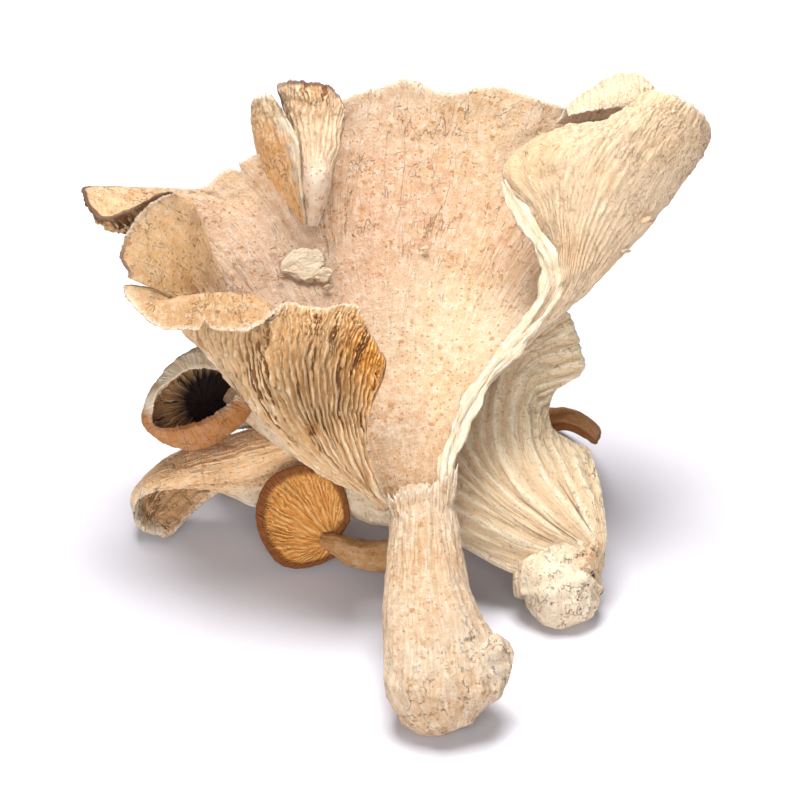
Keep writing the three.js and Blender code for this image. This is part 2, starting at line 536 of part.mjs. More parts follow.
// A cap: the middle surface thickened both ways. Every second column of the gilled face stands out as a gill,
// rising from the root over the share start of its spoke and fading at the rim. side is +1 or -1, the gilled
// face. Each tear leaves out the cells of one gap between spokes, from one of the spoke's points to the rim.
// grow pushes the whole skin outwards.
function cap({ net, perGap, rows, flesh, gill, side, closed = false, tears = [], start = GILL_START }, grow) {
  const bands = middle(net, perGap, rows, closed);
  const normals = normalsOf(bands, closed);
  const count = bands[0].length;
  const points = [];
  bands.forEach((band, r) =>
    band.forEach((p, c) => {
      const v = r / rows;
      const thickness = THREE.MathUtils.lerp(flesh, RIM, v ** RIM_TAPER);
      const half = (thickness * Math.min(1, ROOT_THICKNESS + ROOT_THICKENING * v)) / 2 + grow;
      const inside = closed ? 1 : Math.min(1, (Math.min(c, count - 1 - c) + 1) / SIDE_FADE);
      const raise = c % 2 ? gill * Math.min(1, v / start, (1 - v) / GILL_END) * inside : 0;
      const up = normals[r][c];
      const outward = new THREE.Vector3();
      const awayFrom = (neighbour) => outward.add(new THREE.Vector3().subVectors(p, neighbour).normalize());
      if (r === rows) awayFrom(bands[r - 1][c]);
      if (r === 0 && !closed) awayFrom(bands[1][c]);
      if (c === 0 && !closed) awayFrom(band[1]);
      if (c === count - 1 && !closed) awayFrom(band[c - 1]);
      p.addScaledVector(outward, grow * OVERREACH);
      const above = half + (side > 0 ? raise : 0);
      const below = half + (side < 0 ? raise : 0);
      points.push(p.clone().addScaledVector(up, above), p.clone().addScaledVector(up, -below));
    }),
  );
  const at = (r, c, face) => (r * count + (c % count)) * 2 + face;
  const cells = closed ? count : count - 1;
  const steps = net[0].length - 1;
  const torn = (r, c) =>
    tears.some(({ spoke, from }) => Math.floor(c / perGap) === spoke && r >= (rows * from) / steps);
  const present = (r, c) => r >= 0 && r < rows && (closed || (c >= 0 && c < cells)) && !torn(r, c);
  const triangles = [];
  const quad = (a, b, c, d) => triangles.push([a, b, c], [a, c, d]);
  for (let r = 0; r < rows; r++) {
    for (let c = 0; c < cells; c++) {
      if (!present(r, c)) continue;
      const [a, b, d, e] = [0, 1].flatMap((face) => [at(r, c, face), at(r, c + 1, face)]);
      const [f, g, h, k] = [0, 1].flatMap((face) => [at(r + 1, c, face), at(r + 1, c + 1, face)]);
      quad(a, b, g, f);
      triangles.push([d, k, e], [d, h, k]);
      if (!present(r - 1, c)) quad(b, a, d, e);
      if (!present(r + 1, c)) quad(f, g, k, h);
      if (!closed && !present(r, c - 1)) quad(a, f, h, d);
      if (!closed && !present(r, c + 1)) quad(g, b, e, k);
    }
  }
  return solidFrom(points, triangles);
}

// A stem or a base: rings round a curved axis. A section is [x, u, d, half width, half depth]. Every second
// side stands out as a ridge; lumps is the share of the radius by which it bulges round and along the axis.
function stem({ sections, rings, lumps = 0, sides = STEM_SIDES }, grow) {
  const axis = new THREE.CatmullRomCurve3(sections.map((s) => place(s)), false, "centripetal");
  const size = new THREE.CatmullRomCurve3(
    sections.map((s) => new THREE.Vector3(s[3], s[4], 0)),
    false,
    "centripetal",
  );
  const first = axis.getTangent(0);
  const reference = Math.abs(first.x) > 0.8 ? new THREE.Vector3(0, 0.6, 0.8) : new THREE.Vector3(1, 0, 0);
  const points = [];
  for (let r = 0; r <= rings; r++) {
    const t = r / rings;
    const centre = axis.getPoint(t);
    const tangent = axis.getTangent(t);
    const wide = reference.clone().addScaledVector(tangent, -reference.dot(tangent)).normalize();
    const deep = new THREE.Vector3().crossVectors(tangent, wide);
    const radius = size.getPoint(t);
    for (let s = 0; s < sides; s++) {
      const a = (2 * Math.PI * s) / sides;
      const bulging = (Math.sin(3 * a + 9 * t) + 0.7 * Math.sin(5 * a - 14 * t + 1)) / 2;
      const relief = 1 + STEM_RIDGE * (s % 2 ? 1 : -1) + lumps * bulging;
      points.push(
        centre
          .clone()
          .addScaledVector(wide, (radius.x * relief + grow) * Math.cos(a))
          .addScaledVector(deep, (radius.y * relief + grow) * Math.sin(a)),
      );
    }
  }
  const triangles = [];
  for (let r = 0; r < rings; r++) {
    for (let s = 0; s < sides; s++) {
      const a = r * sides + s;
      const b = r * sides + ((s + 1) % sides);
      triangles.push([a, b, b + sides], [a, b + sides, a + sides]);
    }
  }
  const last = rings * sides;
  const bottom = points.length;
  points.push(axis.getPoint(0), axis.getPoint(1));
  for (let s = 0; s < sides; s++) {
    const next = (s + 1) % sides;
    triangles.push([bottom, next, s], [bottom + 1, last + s, last + next]);
  }
  return solidFrom(points, triangles);
}

// Spokes fanned from a root to each rim point, with the middle of the cap pushed along the bulge.
function fan(root, rim, steps, bulge) {
  return rim.map((end) => {
    const reach = Math.min(1, Math.hypot(...end.map((v, n) => v - root[n])) / FULL_REACH);
    return Array.from({ length: steps + 1 }, (_, k) => {
      const f = THREE.MathUtils.lerp(ROOT_SHARE, 1, k / steps);
      const swell = Math.sin(Math.PI * f) * reach ** 2;
      return root.map((v, n) => THREE.MathUtils.lerp(v, end[n], f) + bulge[n] * swell);
    });
  });
}

// The two flaps of the pleat, and the thin strips without gills.
const FLAP = { perGap: 4, rows: 6, flesh: 1.8, gill: 0.7, side: -1 };
const LIP = { perGap: 3, rows: 6, flesh: 1.6, gill: 0, side: -1 };
// The broken face at the foot of the large stem: a plane as [normal, offset].
const BREAK = planeThrough([5, -60, -8.6], [-0.25, -0.5, -0.83]);
// The slit between the lip and the rounded left lobe.
const LOBE_TEAR = { spoke: 10, from: 6 };

// Each fruit body, grown out by so much. A later one is cut clear of the earlier ones grown by GAP.
const BODIES = {
  large_mushroom: (grow) =>
    cap(
      {
        net: LARGE_CAP, perGap: 2, rows: 12, flesh: FLESH.large, gill: GILL.large, side: -1,
        tears: [LOBE_TEAR],
      },
      grow,
    )
      .add(cap({ ...FLAP, net: LEFT_FLAP }, grow))
      .add(cap({ ...FLAP, side: 1, net: RIGHT_FLAP }, grow))
      .add(cap({ ...LIP, net: ROLL_LIP }, grow))
      .add(cap({ ...LIP, net: COLLAR }, grow))
      .add(
        stem({ sections: LARGE_STEM, rings: 15, lumps: 0.06 }, grow)
          .add(stem({ sections: FOOT_SHELF, rings: 4, sides: 12 }, grow))
          .trimByPlane(...BREAK),
      ),
  right_mushroom: (grow) =>
    cap({ net: RIGHT_FAN, perGap: 4, rows: 10, flesh: FLESH.right, gill: GILL.right, side: -1 }, grow)
      .add(stem({ sections: RIGHT_BASE, rings: 10, lumps: 0.06, sides: 16 }, grow))
      .add(stem({ sections: HUB, rings: 8, lumps: 0.05, sides: 12 }, grow)),
  amber_mushroom: (grow) =>
    cap(
      {
        net: fan(AMBER_ROOT, AMBER_RIM, 5, [0, 0, 3.4]), perGap: 3, rows: 6,
        flesh: FLESH.amber, gill: GILL.amber, side: -1,
      },
      grow,
    ).add(stem({ sections: AMBER_STEM, rings: 6, sides: 12 }, grow)),
  curled_mushroom: (grow) =>
    cap(
      { net: CURLED, perGap: 4, rows: 7, flesh: FLESH.curled, gill: GILL.curled, side: 1, closed: true },
      grow,
    ).add(stem({ sections: CURLED_STEM, rings: 6, sides: 12 }, grow)),
  tongue_mushroom: (grow) =>
    cap(
      { net: TONGUE, perGap: 4, rows: 10, flesh: FLESH.tongue, gill: GILL.tongue, side: 1, start: 0.3 },
      grow,
    ).add(stem({ sections: TONGUE_STEM, rings: 4, sides: 12 }, grow)),
  brown_mushroom: (grow) =>
    cap(
      {
        net: fan(BROWN_ROOT, BROWN_RIM, 5, [0, 4.6, -3]), perGap: 3, rows: 6,
        flesh: FLESH.brown, gill: GILL.brown, side: 1,
      },
      grow,
    ).add(stem({ sections: BROWN_STEM, rings: 4, sides: 12 }, grow)),
  grey_mushroom: (grow) =>
    cap(
      {
        net: fan(GREY_ROOT, GREY_RIM, 5, [0, 4.6, -3]), perGap: 4, rows: 6,
        flesh: FLESH.grey, gill: GILL.grey, side: -1,
      },
      grow,
    ).add(stem({ sections: GREY_STEM, rings: 4, sides: 12 }, grow)),
};
const FINISH = {
  large_mushroom: { color: 0xdcb98e, roughness: 0.85 },
  right_mushroom: { color: 0xe6cfa6, roughness: 0.85 },
  amber_mushroom: { color: 0xb9722f, roughness: 0.75 },
  curled_mushroom: { color: 0xa8743f, roughness: 0.8 },
  tongue_mushroom: { color: 0xc99b6e, roughness: 0.85 },
  brown_mushroom: { color: 0xa86c33, roughness: 0.75 },
  grey_mushroom: { color: 0x9a8270, roughness: 0.85 },
};

const biggest = (solid) => solid.decompose().reduce((a, b) => (b.volume() > a.volume() ? b : a));

// The outer skin of a solid as a geometry, with vertices closer than MERGE made one.
function skinOf(solid) {
  const mesh = solid.getMesh();
  const geometry = new THREE.BufferGeometry();
  geometry.setAttribute("position", new THREE.BufferAttribute(mesh.vertProperties, 3));
  geometry.setIndex(new THREE.BufferAttribute(mesh.triVerts, 1));
  return mergeVertices(geometry, MERGE);
}

function solidOf(geometry) {
  const at = geometry.getAttribute("position");
  const points = Array.from({ length: at.count }, (_, v) => new THREE.Vector3().fromBufferAttribute(at, v));
  const { array } = geometry.index;
  const triangles = Array.from({ length: array.length / 3 }, (_, t) => [...array.slice(3 * t, 3 * t + 3)]);
  return solidFrom(points, triangles);
}

const solids = new Map();
const clearances = [];
const bounds = new THREE.Box3();
for (const [name, make] of Object.entries(BODIES)) {
  const clear = clearances.reduce((body, other) => body.subtract(other), make(0));
  const body = biggest(clear.trimByPlane([0, 0, 1], 0));
  const box = body.boundingBox();
  bounds.union(new THREE.Box3(new THREE.Vector3(...box.min), new THREE.Vector3(...box.max)));
  solids.set(name, body);
  clearances.push(make(GAP));
}

// The origin is the middle of the bounding box's floor.
const group = new THREE.Group();
const shift = [-(bounds.min.x + bounds.max.x) / 2, -(bounds.min.y + bounds.max.y) / 2, 0];
for (const [name, solid] of solids) {
  const whole = biggest(solidOf(skinOf(solid.translate(shift))));
  const geometry = skinOf(whole);
  geometry.computeVertexNormals();
  const part = new THREE.Mesh(geometry, new THREE.MeshStandardMaterial({ ...FINISH[name], metalness: 0 }));
  part.name = name;
  group.add(part);
}
export default group;
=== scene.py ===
"""A dried oyster mushroom cluster: fruit bodies with gills, torn flesh and stems, on a pale studio floor."""
import math

import bmesh
import bpy
import numpy as np
from bpy.props import FloatProperty, FloatVectorProperty, IntProperty, PointerProperty
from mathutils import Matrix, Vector


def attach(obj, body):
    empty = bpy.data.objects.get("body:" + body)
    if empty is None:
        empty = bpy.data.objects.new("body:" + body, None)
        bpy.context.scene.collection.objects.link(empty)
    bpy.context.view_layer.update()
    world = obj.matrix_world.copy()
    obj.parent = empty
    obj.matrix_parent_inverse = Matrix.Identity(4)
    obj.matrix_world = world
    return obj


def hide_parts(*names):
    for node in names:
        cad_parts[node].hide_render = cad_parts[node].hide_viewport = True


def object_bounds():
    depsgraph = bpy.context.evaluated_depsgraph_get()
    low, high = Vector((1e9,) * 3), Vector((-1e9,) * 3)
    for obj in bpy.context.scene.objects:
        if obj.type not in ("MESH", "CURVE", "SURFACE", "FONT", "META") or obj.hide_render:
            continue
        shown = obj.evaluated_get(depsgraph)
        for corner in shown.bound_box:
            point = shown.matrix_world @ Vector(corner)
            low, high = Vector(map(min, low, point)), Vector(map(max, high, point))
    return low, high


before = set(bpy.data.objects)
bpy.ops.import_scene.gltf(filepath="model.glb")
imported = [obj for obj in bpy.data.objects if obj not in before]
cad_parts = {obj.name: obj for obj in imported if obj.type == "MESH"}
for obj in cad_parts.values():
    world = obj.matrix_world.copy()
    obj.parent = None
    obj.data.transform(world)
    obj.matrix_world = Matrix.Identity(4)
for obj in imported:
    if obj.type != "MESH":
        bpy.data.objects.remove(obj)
CAD_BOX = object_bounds()

bl_info = {
    "name": "Oyster mushroom cluster",
    "version": (1, 0, 0),
    "blender": (4, 5, 0),
    "location": "3D View > Sidebar > Mushrooms",
    "description": "Builds a dried oyster mushroom cluster, one piece for each fruit body",
    "category": "Add Mesh",
}

MM = 0.001
# The nets are written in millimetres in a frame that leans back: [x to the right, u up the slope, d away].
LEAN = math.radians(35)
ROOT_HEIGHT = 53.8  # the nets' origin over the floor
SHIFT = (0.609, -15.496)  # the nets' origin to the right of the part's own, and away from it
# How thick each sheet of flesh is near its root, and how thick all of them are near the rim.
FLESH = {
    "large": 2, "right": 2.3, "curled": 1.8, "tongue": 1.9, "amber": 1.6, "brown": 2.2, "grey": 1.8,
    "collar": 0.7, "flap": 1.2, "lip": 1.6,
}
RIM = 1.0
FULL_REACH = 16  # a small cap's spokes bulge fully from this length on
ROOT_SHARE = 0.12  # and start this share of the way from its root

# Each net is a list of spokes, from the root of the cap to its rim.
LARGE_CAP = [
  # the gilled front-left lobe, from its free right edge
  [[-1.6, -21, 17], [-4.4, -16.4, 14], [-6.6, -11, 12.5], [-6.8, -6, 11.5], [-5.8, -1.6, 10.5],
   [-4.2, 2, 10], [-3, 5.2, 9.5], [-2.6, 8.2, 9.5]],
  [[-2, -21.4, 17.5], [-5.2, -16.8, 13.5], [-8, -11.6, 11], [-9.4, -6.4, 9.5], [-9.6, -1, 8.5],
   [-8.8, 4.4, 8], [-7.4, 9.4, 8], [-5.8, 13.8, 8.5]],
  [[-2.4, -21.6, 18], [-5.6, -17, 14], [-9.4, -12, 10.5], [-11.8, -6.4, 8.5], [-12.8, -0.4, 7.5],
   [-12.6, 6, 7], [-11, 12.8, 7.5], [-8.6, 19.2, 9]],
  [[-2.8, -21.8, 18.5], [-6, -17.4, 14.5], [-11, -12.2, 11], [-14.6, -6.4, 8.5], [-16.8, -0.4, 7],
   [-17.8, 6, 6.5], [-17.4, 12.6, 7], [-16, 18.6, 9]],
  [[-3.2, -22, 19], [-6.4, -17.8, 15.5], [-12.6, -12.4, 12], [-17.6, -6.6, 9.5], [-21, -0.8, 8],
   [-23.2, 5.4, 7], [-23.8, 12.4, 7.5], [-23, 19.6, 9.5]],
  # the lip folded down over the gills
  [[-3.6, -22, 19.5], [-6.6, -18.2, 16.5], [-14.4, -12.6, 13.5], [-20.8, -6.4, 11.5], [-26, 0.6, 10],
   [-28.4, 10, 9.5], [-27.6, 20, 9.5], [-25, 16.6, 5.5]],
  [[-4, -22, 20], [-6.8, -18.4, 17.5], [-15.6, -12.8, 15.5], [-23.4, -5.4, 13.5], [-29.2, 2, 12],
   [-32.8, 11, 11], [-32.8, 20.8, 9.5], [-29.8, 13.4, 4.5]],
  [[-4.2, -22, 20.5], [-6.8, -18.4, 19], [-16.8, -12.4, 18.5], [-26, -3.4, 17.5], [-32.8, 4.6, 16],
   [-37.6, 13, 14], [-39, 21, 10.5], [-38.4, 13.6, 6]],
  [[-4.4, -21.8, 21], [-6.8, -18.2, 20.5], [-17.6, -11.4, 21.5], [-27.6, -1.4, 21.5], [-35.6, 7.2, 20],
   [-42, 14.4, 17.5], [-45.4, 19.8, 13], [-47.2, 13.8, 8.5]],
  [[-4.6, -21.6, 21.5], [-6.8, -18, 21.5], [-18, -10.2, 24], [-28.4, 1, 25.5], [-37, 10, 24],
   [-44, 16.6, 20.5], [-49, 19.6, 16], [-52.8, 18.2, 12]],
  # the rounded left lobe
  [[-4.6, -21.4, 22], [-6.8, -17.8, 22], [-18.2, -9.2, 26], [-28.8, 3, 28], [-37.2, 12.4, 26.5],
   [-43.6, 18.6, 23], [-50, 21.4, 18.5], [-55.2, 22.2, 14.5]],
  [[-4.6, -21.2, 22.2], [-6.8, -17.6, 22.3], [-18.4, -8.4, 26.6], [-29, 4.2, 28.8], [-37.4, 13.8, 27],
   [-43.4, 19.6, 23.2], [-49.6, 23.4, 18], [-54.2, 25.2, 14]],
  [[-4.6, -21, 22.4], [-6.8, -17.4, 22.6], [-18.4, -7.6, 27.2], [-29, 5.6, 30], [-37.2, 15.6, 28.5],
   [-43.2, 22, 24], [-49.6, 26.4, 17.5], [-55.8, 28.6, 12]],
  [[-4.6, -20.8, 22.6], [-6.6, -17.2, 22.8], [-18.4, -6.8, 27.8], [-28.6, 7.4, 31.5],
   [-36.4, 18.2, 30], [-41.4, 26, 24.5], [-46.6, 32, 16.5], [-53, 35.4, 10]],
  [[-4.4, -20.6, 22.8], [-6.4, -17, 23], [-18, -5.8, 28.4], [-28, 9.4, 32.8], [-35.6, 21, 31.5],
   [-39.6, 30, 25.5], [-43, 36.4, 16], [-48.6, 39.6, 9]],
  [[-4.2, -20.4, 23], [-6.2, -16.8, 23.2], [-17.6, -4.8, 29], [-27.4, 11, 33.8], [-35, 23, 33],
   [-39, 32.4, 28.5], [-41.6, 38.8, 18.5], [-45, 41, 10.5]],
  # the hollow between the lobe and the horn
  [[-4, -20.2, 23.2], [-6, -16.6, 23.4], [-17.2, -4, 29.4], [-27.2, 12, 34.4], [-35.2, 24.2, 34],
   [-40.4, 33, 31], [-44.6, 38.4, 24], [-47.6, 41.2, 15]],
  [[-3.8, -20, 23.4], [-5.8, -16.4, 23.6], [-16.8, -3.2, 29.8], [-27, 13.2, 35], [-36, 25, 35],
   [-43, 32.4, 31], [-50, 36.6, 24], [-54, 38, 16.5]],
  # the horn
  [[-3.6, -20, 23.5], [-5.6, -16.2, 23.8], [-16.4, -2.4, 30.2], [-27, 14.2, 35.5], [-37, 25.6, 36],
   [-46, 32.6, 32.5], [-54.6, 34.6, 26], [-60, 36.4, 18]],
  [[-3.4, -20, 23.6], [-5.4, -16, 24], [-16, -1.4, 30.6], [-26.8, 15.4, 36.2], [-37, 27.4, 37],
   [-46.6, 35, 34.5], [-56, 39, 29.5], [-63.8, 42, 22.5]],
  [[-3.2, -20, 23.7], [-5.2, -15.8, 24.2], [-15.6, -0.4, 31], [-26, 17, 37], [-35.6, 29.6, 38.5],
   [-44.4, 37.4, 37.5], [-53, 40.6, 34.5], [-60.6, 43, 31]],
  # the back rim as far as the pleat
  [[-2.8, -20, 23.8], [-4.8, -15.6, 24.4], [-14.6, 1, 31.6], [-24, 19.6, 38.2], [-32, 32.6, 40.4],
   [-38.6, 39.6, 40.6], [-43.4, 41.6, 40], [-47, 43, 39]],
  [[-2.4, -20, 23.9], [-4.4, -15.4, 24.6], [-13, 3, 32.2], [-21.2, 22, 39], [-28, 34.6, 41.4],
   [-33.6, 39.8, 41.8], [-37.4, 42, 41.4], [-40.4, 43.2, 40.8]],
  [[-2, -20, 24], [-3.8, -15.2, 24.7], [-11.2, 4.6, 32.8], [-18, 23.6, 39.4], [-24, 35.6, 42],
   [-28.8, 41.6, 42.4], [-32.4, 45.2, 42], [-35, 47.4, 41.4]],
  [[-1.6, -20, 24], [-3, -15, 24.7], [-9.2, 6, 33.2], [-14.8, 24.6, 39.6], [-19.2, 33, 40.6],
   [-23, 39.4, 41.2], [-26.6, 45.6, 41.2], [-29.2, 50, 41]],
  # the broad back rim
  [[-0.2, -20, 24], [-1.8, -15, 24.7], [-8, 8.4, 33.6], [-12.6, 28.6, 40.6], [-13, 41, 42.6],
   [-12, 50.6, 43.4], [-11.2, 57, 43.2], [-10.8, 61.6, 42.8]],
  [[0.4, -20, 24], [-1, -14.8, 24.7], [-5.6, 9.6, 33.8], [-7.6, 30, 41], [-6.8, 43.4, 43.4],
   [-5.2, 53, 44.2], [-4, 59.6, 43.8], [-3.4, 63.8, 43]],
  [[1, -20, 24], [0.4, -14.6, 24.6], [-2.2, 10.8, 33.9], [-2.4, 31, 41.2], [-0.8, 44.6, 43.8],
   [0.2, 54.6, 44.4], [1, 61.2, 44], [1.4, 65.4, 43]],
  [[1.6, -20, 24], [1.6, -14.4, 24.5], [1.6, 11.6, 33.8], [3.4, 31.6, 41.2], [5.8, 45, 43.8],
   [7.4, 54.2, 44.2], [8.6, 59.6, 43.4], [9.4, 62.6, 42.4]],
  [[2.2, -20, 23.9], [2.8, -14.2, 24.3], [5.2, 12, 33.6], [9, 31.8, 41], [12.6, 44.6, 43.4],
   [15.2, 53.6, 43.6], [17.4, 59.6, 42.8], [19, 63.8, 41.8]],
  [[2.8, -20, 23.8], [4, -14, 24.1], [8.8, 12, 33.2], [14.6, 31.4, 40.4], [19.6, 43.6, 42.8],
   [23.4, 52.2, 42.8], [26.4, 57.8, 42], [28.4, 61.2, 41]],
  # the right side, passing below the roll
  [[3.2, -20, 23.6], [5, -14, 23.8], [12, 11.8, 32.6], [19.6, 30.4, 39.6], [26, 42, 42],
   [30.6, 50.2, 42], [34, 55.4, 41], [36.2, 58.6, 40]],
  [[3.6, -20, 23.4], [5.8, -14, 23.4], [14.8, 11.2, 31.8], [23.4, 28.6, 38.4], [31.2, 39.6, 41],
   [37.4, 47.4, 41.4], [41.6, 53.2, 40.8], [44, 57.4, 39.6]],
  # round the outside of the roll
  [[4.4, -20, 22.8], [7, -13.8, 22.4], [18, 8, 28.8], [30.8, 23, 33.6], [42, 33.2, 36.6],
   [51.6, 42.6, 38.4], [57.4, 49.6, 38], [60.2, 53.2, 36.4]],
  [[4.8, -20, 22.2], [7.8, -13.7, 21.8], [18.2, 6, 27.2], [33.6, 20.6, 30.4], [44.8, 31, 31.6],
   [54.2, 41.4, 32.4], [60, 49.8, 31.6], [62.4, 54, 30]],
  [[5.1, -20, 21.6], [8.3, -13.6, 21.2], [18, 5, 25.8], [34.2, 19.8, 27.4], [44.6, 31.4, 26],
   [52.8, 42.8, 25.4], [58.8, 52, 25], [61.2, 57, 24.8]],
  # the near side of the roll, to its torn edge
  [[5.3, -20, 21], [8.7, -13.4, 20.6], [17.8, 4.8, 24.4], [33.8, 20.8, 24.8], [41, 34.6, 21.8],
   [46.6, 45, 20.4], [52, 54, 20], [57, 60.2, 21.4]],
  [[5.5, -20, 20.4], [9, -13.2, 20], [17.4, 4.8, 23.2], [33, 22.2, 23.4], [36.8, 37.6, 20.6],
   [40.4, 47.4, 19], [45.4, 55.4, 19], [50.6, 62, 21.4]],
  [[5.6, -20, 19.8], [9.2, -13, 19.4], [17, 5, 22.2], [32.2, 23.8, 23], [32.4, 39.6, 21.8],
   [33.4, 48.6, 20.6], [38.4, 53.8, 20.8], [44, 56.6, 22.2]],
  [[5.6, -20, 19.2], [9.2, -12.8, 18.8], [16.6, 5.2, 21.4], [31.4, 25.2, 23.8], [27.4, 37.4, 25.6],
   [20.4, 45.4, 28.4], [25.4, 51.4, 29.4], [35.4, 55.2, 28.4]],
]

# The torn pleat in the back rim: a left flap standing up, and a right flap turned over, gills to the front.
LEFT_FLAP = [
  [[-19.6, 35.4, 41.2], [-25.6, 42, 42.4], [-29, 50, 42.2], [-30.2, 57.4, 40]],
  [[-19.4, 35.4, 40.6], [-24.2, 43, 40], [-28, 52, 38.4], [-29.8, 61, 36.4]],
  [[-19.2, 35.4, 40], [-22.6, 43.6, 37.2], [-25.6, 53, 34.8], [-27.8, 61.8, 33.6]],
  [[-19, 35.4, 39.4], [-21.2, 44, 34.8], [-23.2, 53, 32.2], [-26, 61.8, 32.4]],
  [[-19, 35.4, 39], [-20, 44.4, 33.2], [-20.6, 52, 31], [-24.4, 59.4, 31.6]],
]
RIGHT_FLAP = [
  [[-18.8, 35, 40.6], [-20.6, 43, 38], [-22, 53, 37.4], [-25, 64, 38]],
  [[-18.6, 35, 39.8], [-19.2, 43.6, 35], [-20.6, 53.6, 34.6], [-22, 64.8, 35.4]],
  [[-18.2, 35, 39.2], [-17.6, 43.6, 33], [-17.6, 53.4, 32.6], [-18.4, 64.4, 33.6]],
  [[-17.6, 35, 39], [-16, 43.6, 33], [-14.6, 53, 32.4], [-14, 63.6, 33.4]],
  [[-17, 35, 39.2], [-14.8, 43.4, 34.4], [-12.6, 52.6, 33.6], [-11.6, 60.4, 34]],
  [[-16.6, 35, 39.8], [-14.4, 43, 37], [-12.8, 51.6, 36.4], [-11.4, 58, 36.8]],
]

# The lip that curls over the mouth of the roll.
ROLL_LIP = [
  [[31.4, 55.6, 36.4], [33, 57.6, 35], [33.4, 58.2, 32], [33.6, 57.6, 29.8], [33.8, 56.8, 28.6]],
  [[35.4, 56, 38], [36.4, 60, 35.6], [37, 60.8, 31.6], [37.4, 59.6, 28.4], [37.8, 57.6, 26.8]],
  [[38.6, 56.4, 39], [39.6, 62, 35.6], [40.2, 62.8, 31], [40.8, 60.8, 27.4], [41.2, 58, 25.8]],
  [[42, 56.6, 39], [43.4, 63.8, 35.6], [44.2, 64.8, 31], [45, 62.4, 26.8], [45.4, 58.4, 25.2]],
  [[46, 56.4, 38.4], [47.2, 63.4, 35.4], [48, 64.6, 31.2], [48.6, 62.4, 27.4], [48.4, 59, 25.4]],
  [[49.6, 57, 37], [50.6, 61, 34], [51.2, 61.8, 31], [51.4, 61.2, 28.6], [51, 60.4, 27]],
]

# The torn edge where the stem meets the hollow of the cap.
COLLAR = [
  [[-0.6, -25.6, 12.4], [-2, -21.6, 13.2], [-3.4, -18, 15.4]],
  [[1.2, -26, 10.4], [0.2, -21.6, 11.2], [-0.8, -17.4, 13.2]],
  [[3.4, -26.2, 9.2], [2.8, -21.2, 10.4], [2.2, -16.4, 12.6]],
  [[5.6, -26.2, 9], [5.8, -20.6, 10.4], [6, -15.4, 12.8]],
  [[8, -25.6, 10], [8.8, -19.6, 11.4], [9.2, -13.6, 14]],
  [[10, -24.4, 12.6], [11.2, -17.6, 14], [11.6, -11.2, 16.2]],
]

RIGHT_FAN = [
  [[38.6, -35, 30], [40.6, -29, 30.5], [40.6, -23, 31.5], [40, -17, 33.5], [38.8, -11.8, 36],
   [38.5, -10.6, 36.75], [38.2, -9.4, 37.5]],
  [[38.4, -35.2, 29], [40, -29, 29.5], [39, -22.4, 30], [37, -16, 32], [34.8, -10.4, 35],
   [34.1, -8.9, 36], [33.4, -7.4, 37]],
  [[38, -35.2, 28.6], [39.4, -29, 29], [37.4, -22.4, 29], [34.6, -16, 31], [32, -10, 34.5],
   [31, -7.2, 36.25], [30, -4.4, 38]],
  [[37.6, -35.2, 28.4], [38.8, -29.2, 28.8], [35.6, -22.4, 29.5], [31.2, -15.6, 31.5], [27.6, -8, 35],
   [27.8, -1, 38.6], [31.8, 2.2, 42]],
  [[37.2, -35, 28.2], [38.4, -29.4, 28.4], [33.6, -22.6, 28.8], [28.2, -15.8, 30.8], [25, -7, 34.5],
   [26.6, 3, 39.2], [37.6, 6, 43]],
  [[37, -35, 28], [38, -29.8, 28], [32, -23, 28.2], [25.8, -16.2, 30.2], [22.4, -6.6, 34],
   [25.4, 6, 39], [36.8, 11.4, 43]],
  [[36.8, -35, 28], [37.6, -30, 27.8], [30.8, -23.4, 27.8], [23.6, -16.6, 29.6], [19.8, -6.8, 33.6],
   [22.6, 7.6, 39], [34, 18, 43]],
  [[36.4, -35, 28], [37.2, -30.4, 27.8], [29.2, -24, 28.2], [21.6, -17.4, 29.6], [16.8, -8.4, 33.5],
   [18.4, 4.6, 39], [26, 15, 43]],
  [[36, -35, 28], [36.8, -30.8, 27.8], [28, -25, 27.8], [19.4, -18.6, 28.8], [13.2, -10.8, 32.5],
   [11.4, 0.6, 38.5], [15.6, 11, 43.5]],
  [[35.6, -35.4, 28], [36.4, -31.4, 27.8], [26.6, -26.2, 28], [17.4, -20, 29], [10, -13, 32.5],
   [5, -4, 38.5], [4, 6, 43.5]],
  [[35.2, -35.8, 28.2], [36, -32, 28], [25.4, -27.4, 28], [15.6, -22, 28.6], [7.2, -16.4, 31.5],
   [0.4, -9.4, 36.5], [-4, -1, 42]],
  [[34.8, -36, 28.4], [35.6, -32.8, 28.4], [24.6, -30.6, 28.6], [14.4, -26, 29.2], [5, -20.4, 31.5],
   [-3, -16.4, 35.5], [-9.6, -12, 40]],
  [[34.4, -37, 29], [34, -36, 29.4], [23.4, -35, 30], [15.4, -31, 31], [6.6, -26.6, 32],
   [-0.6, -25, 34.5], [-6.6, -24.4, 38]],
]

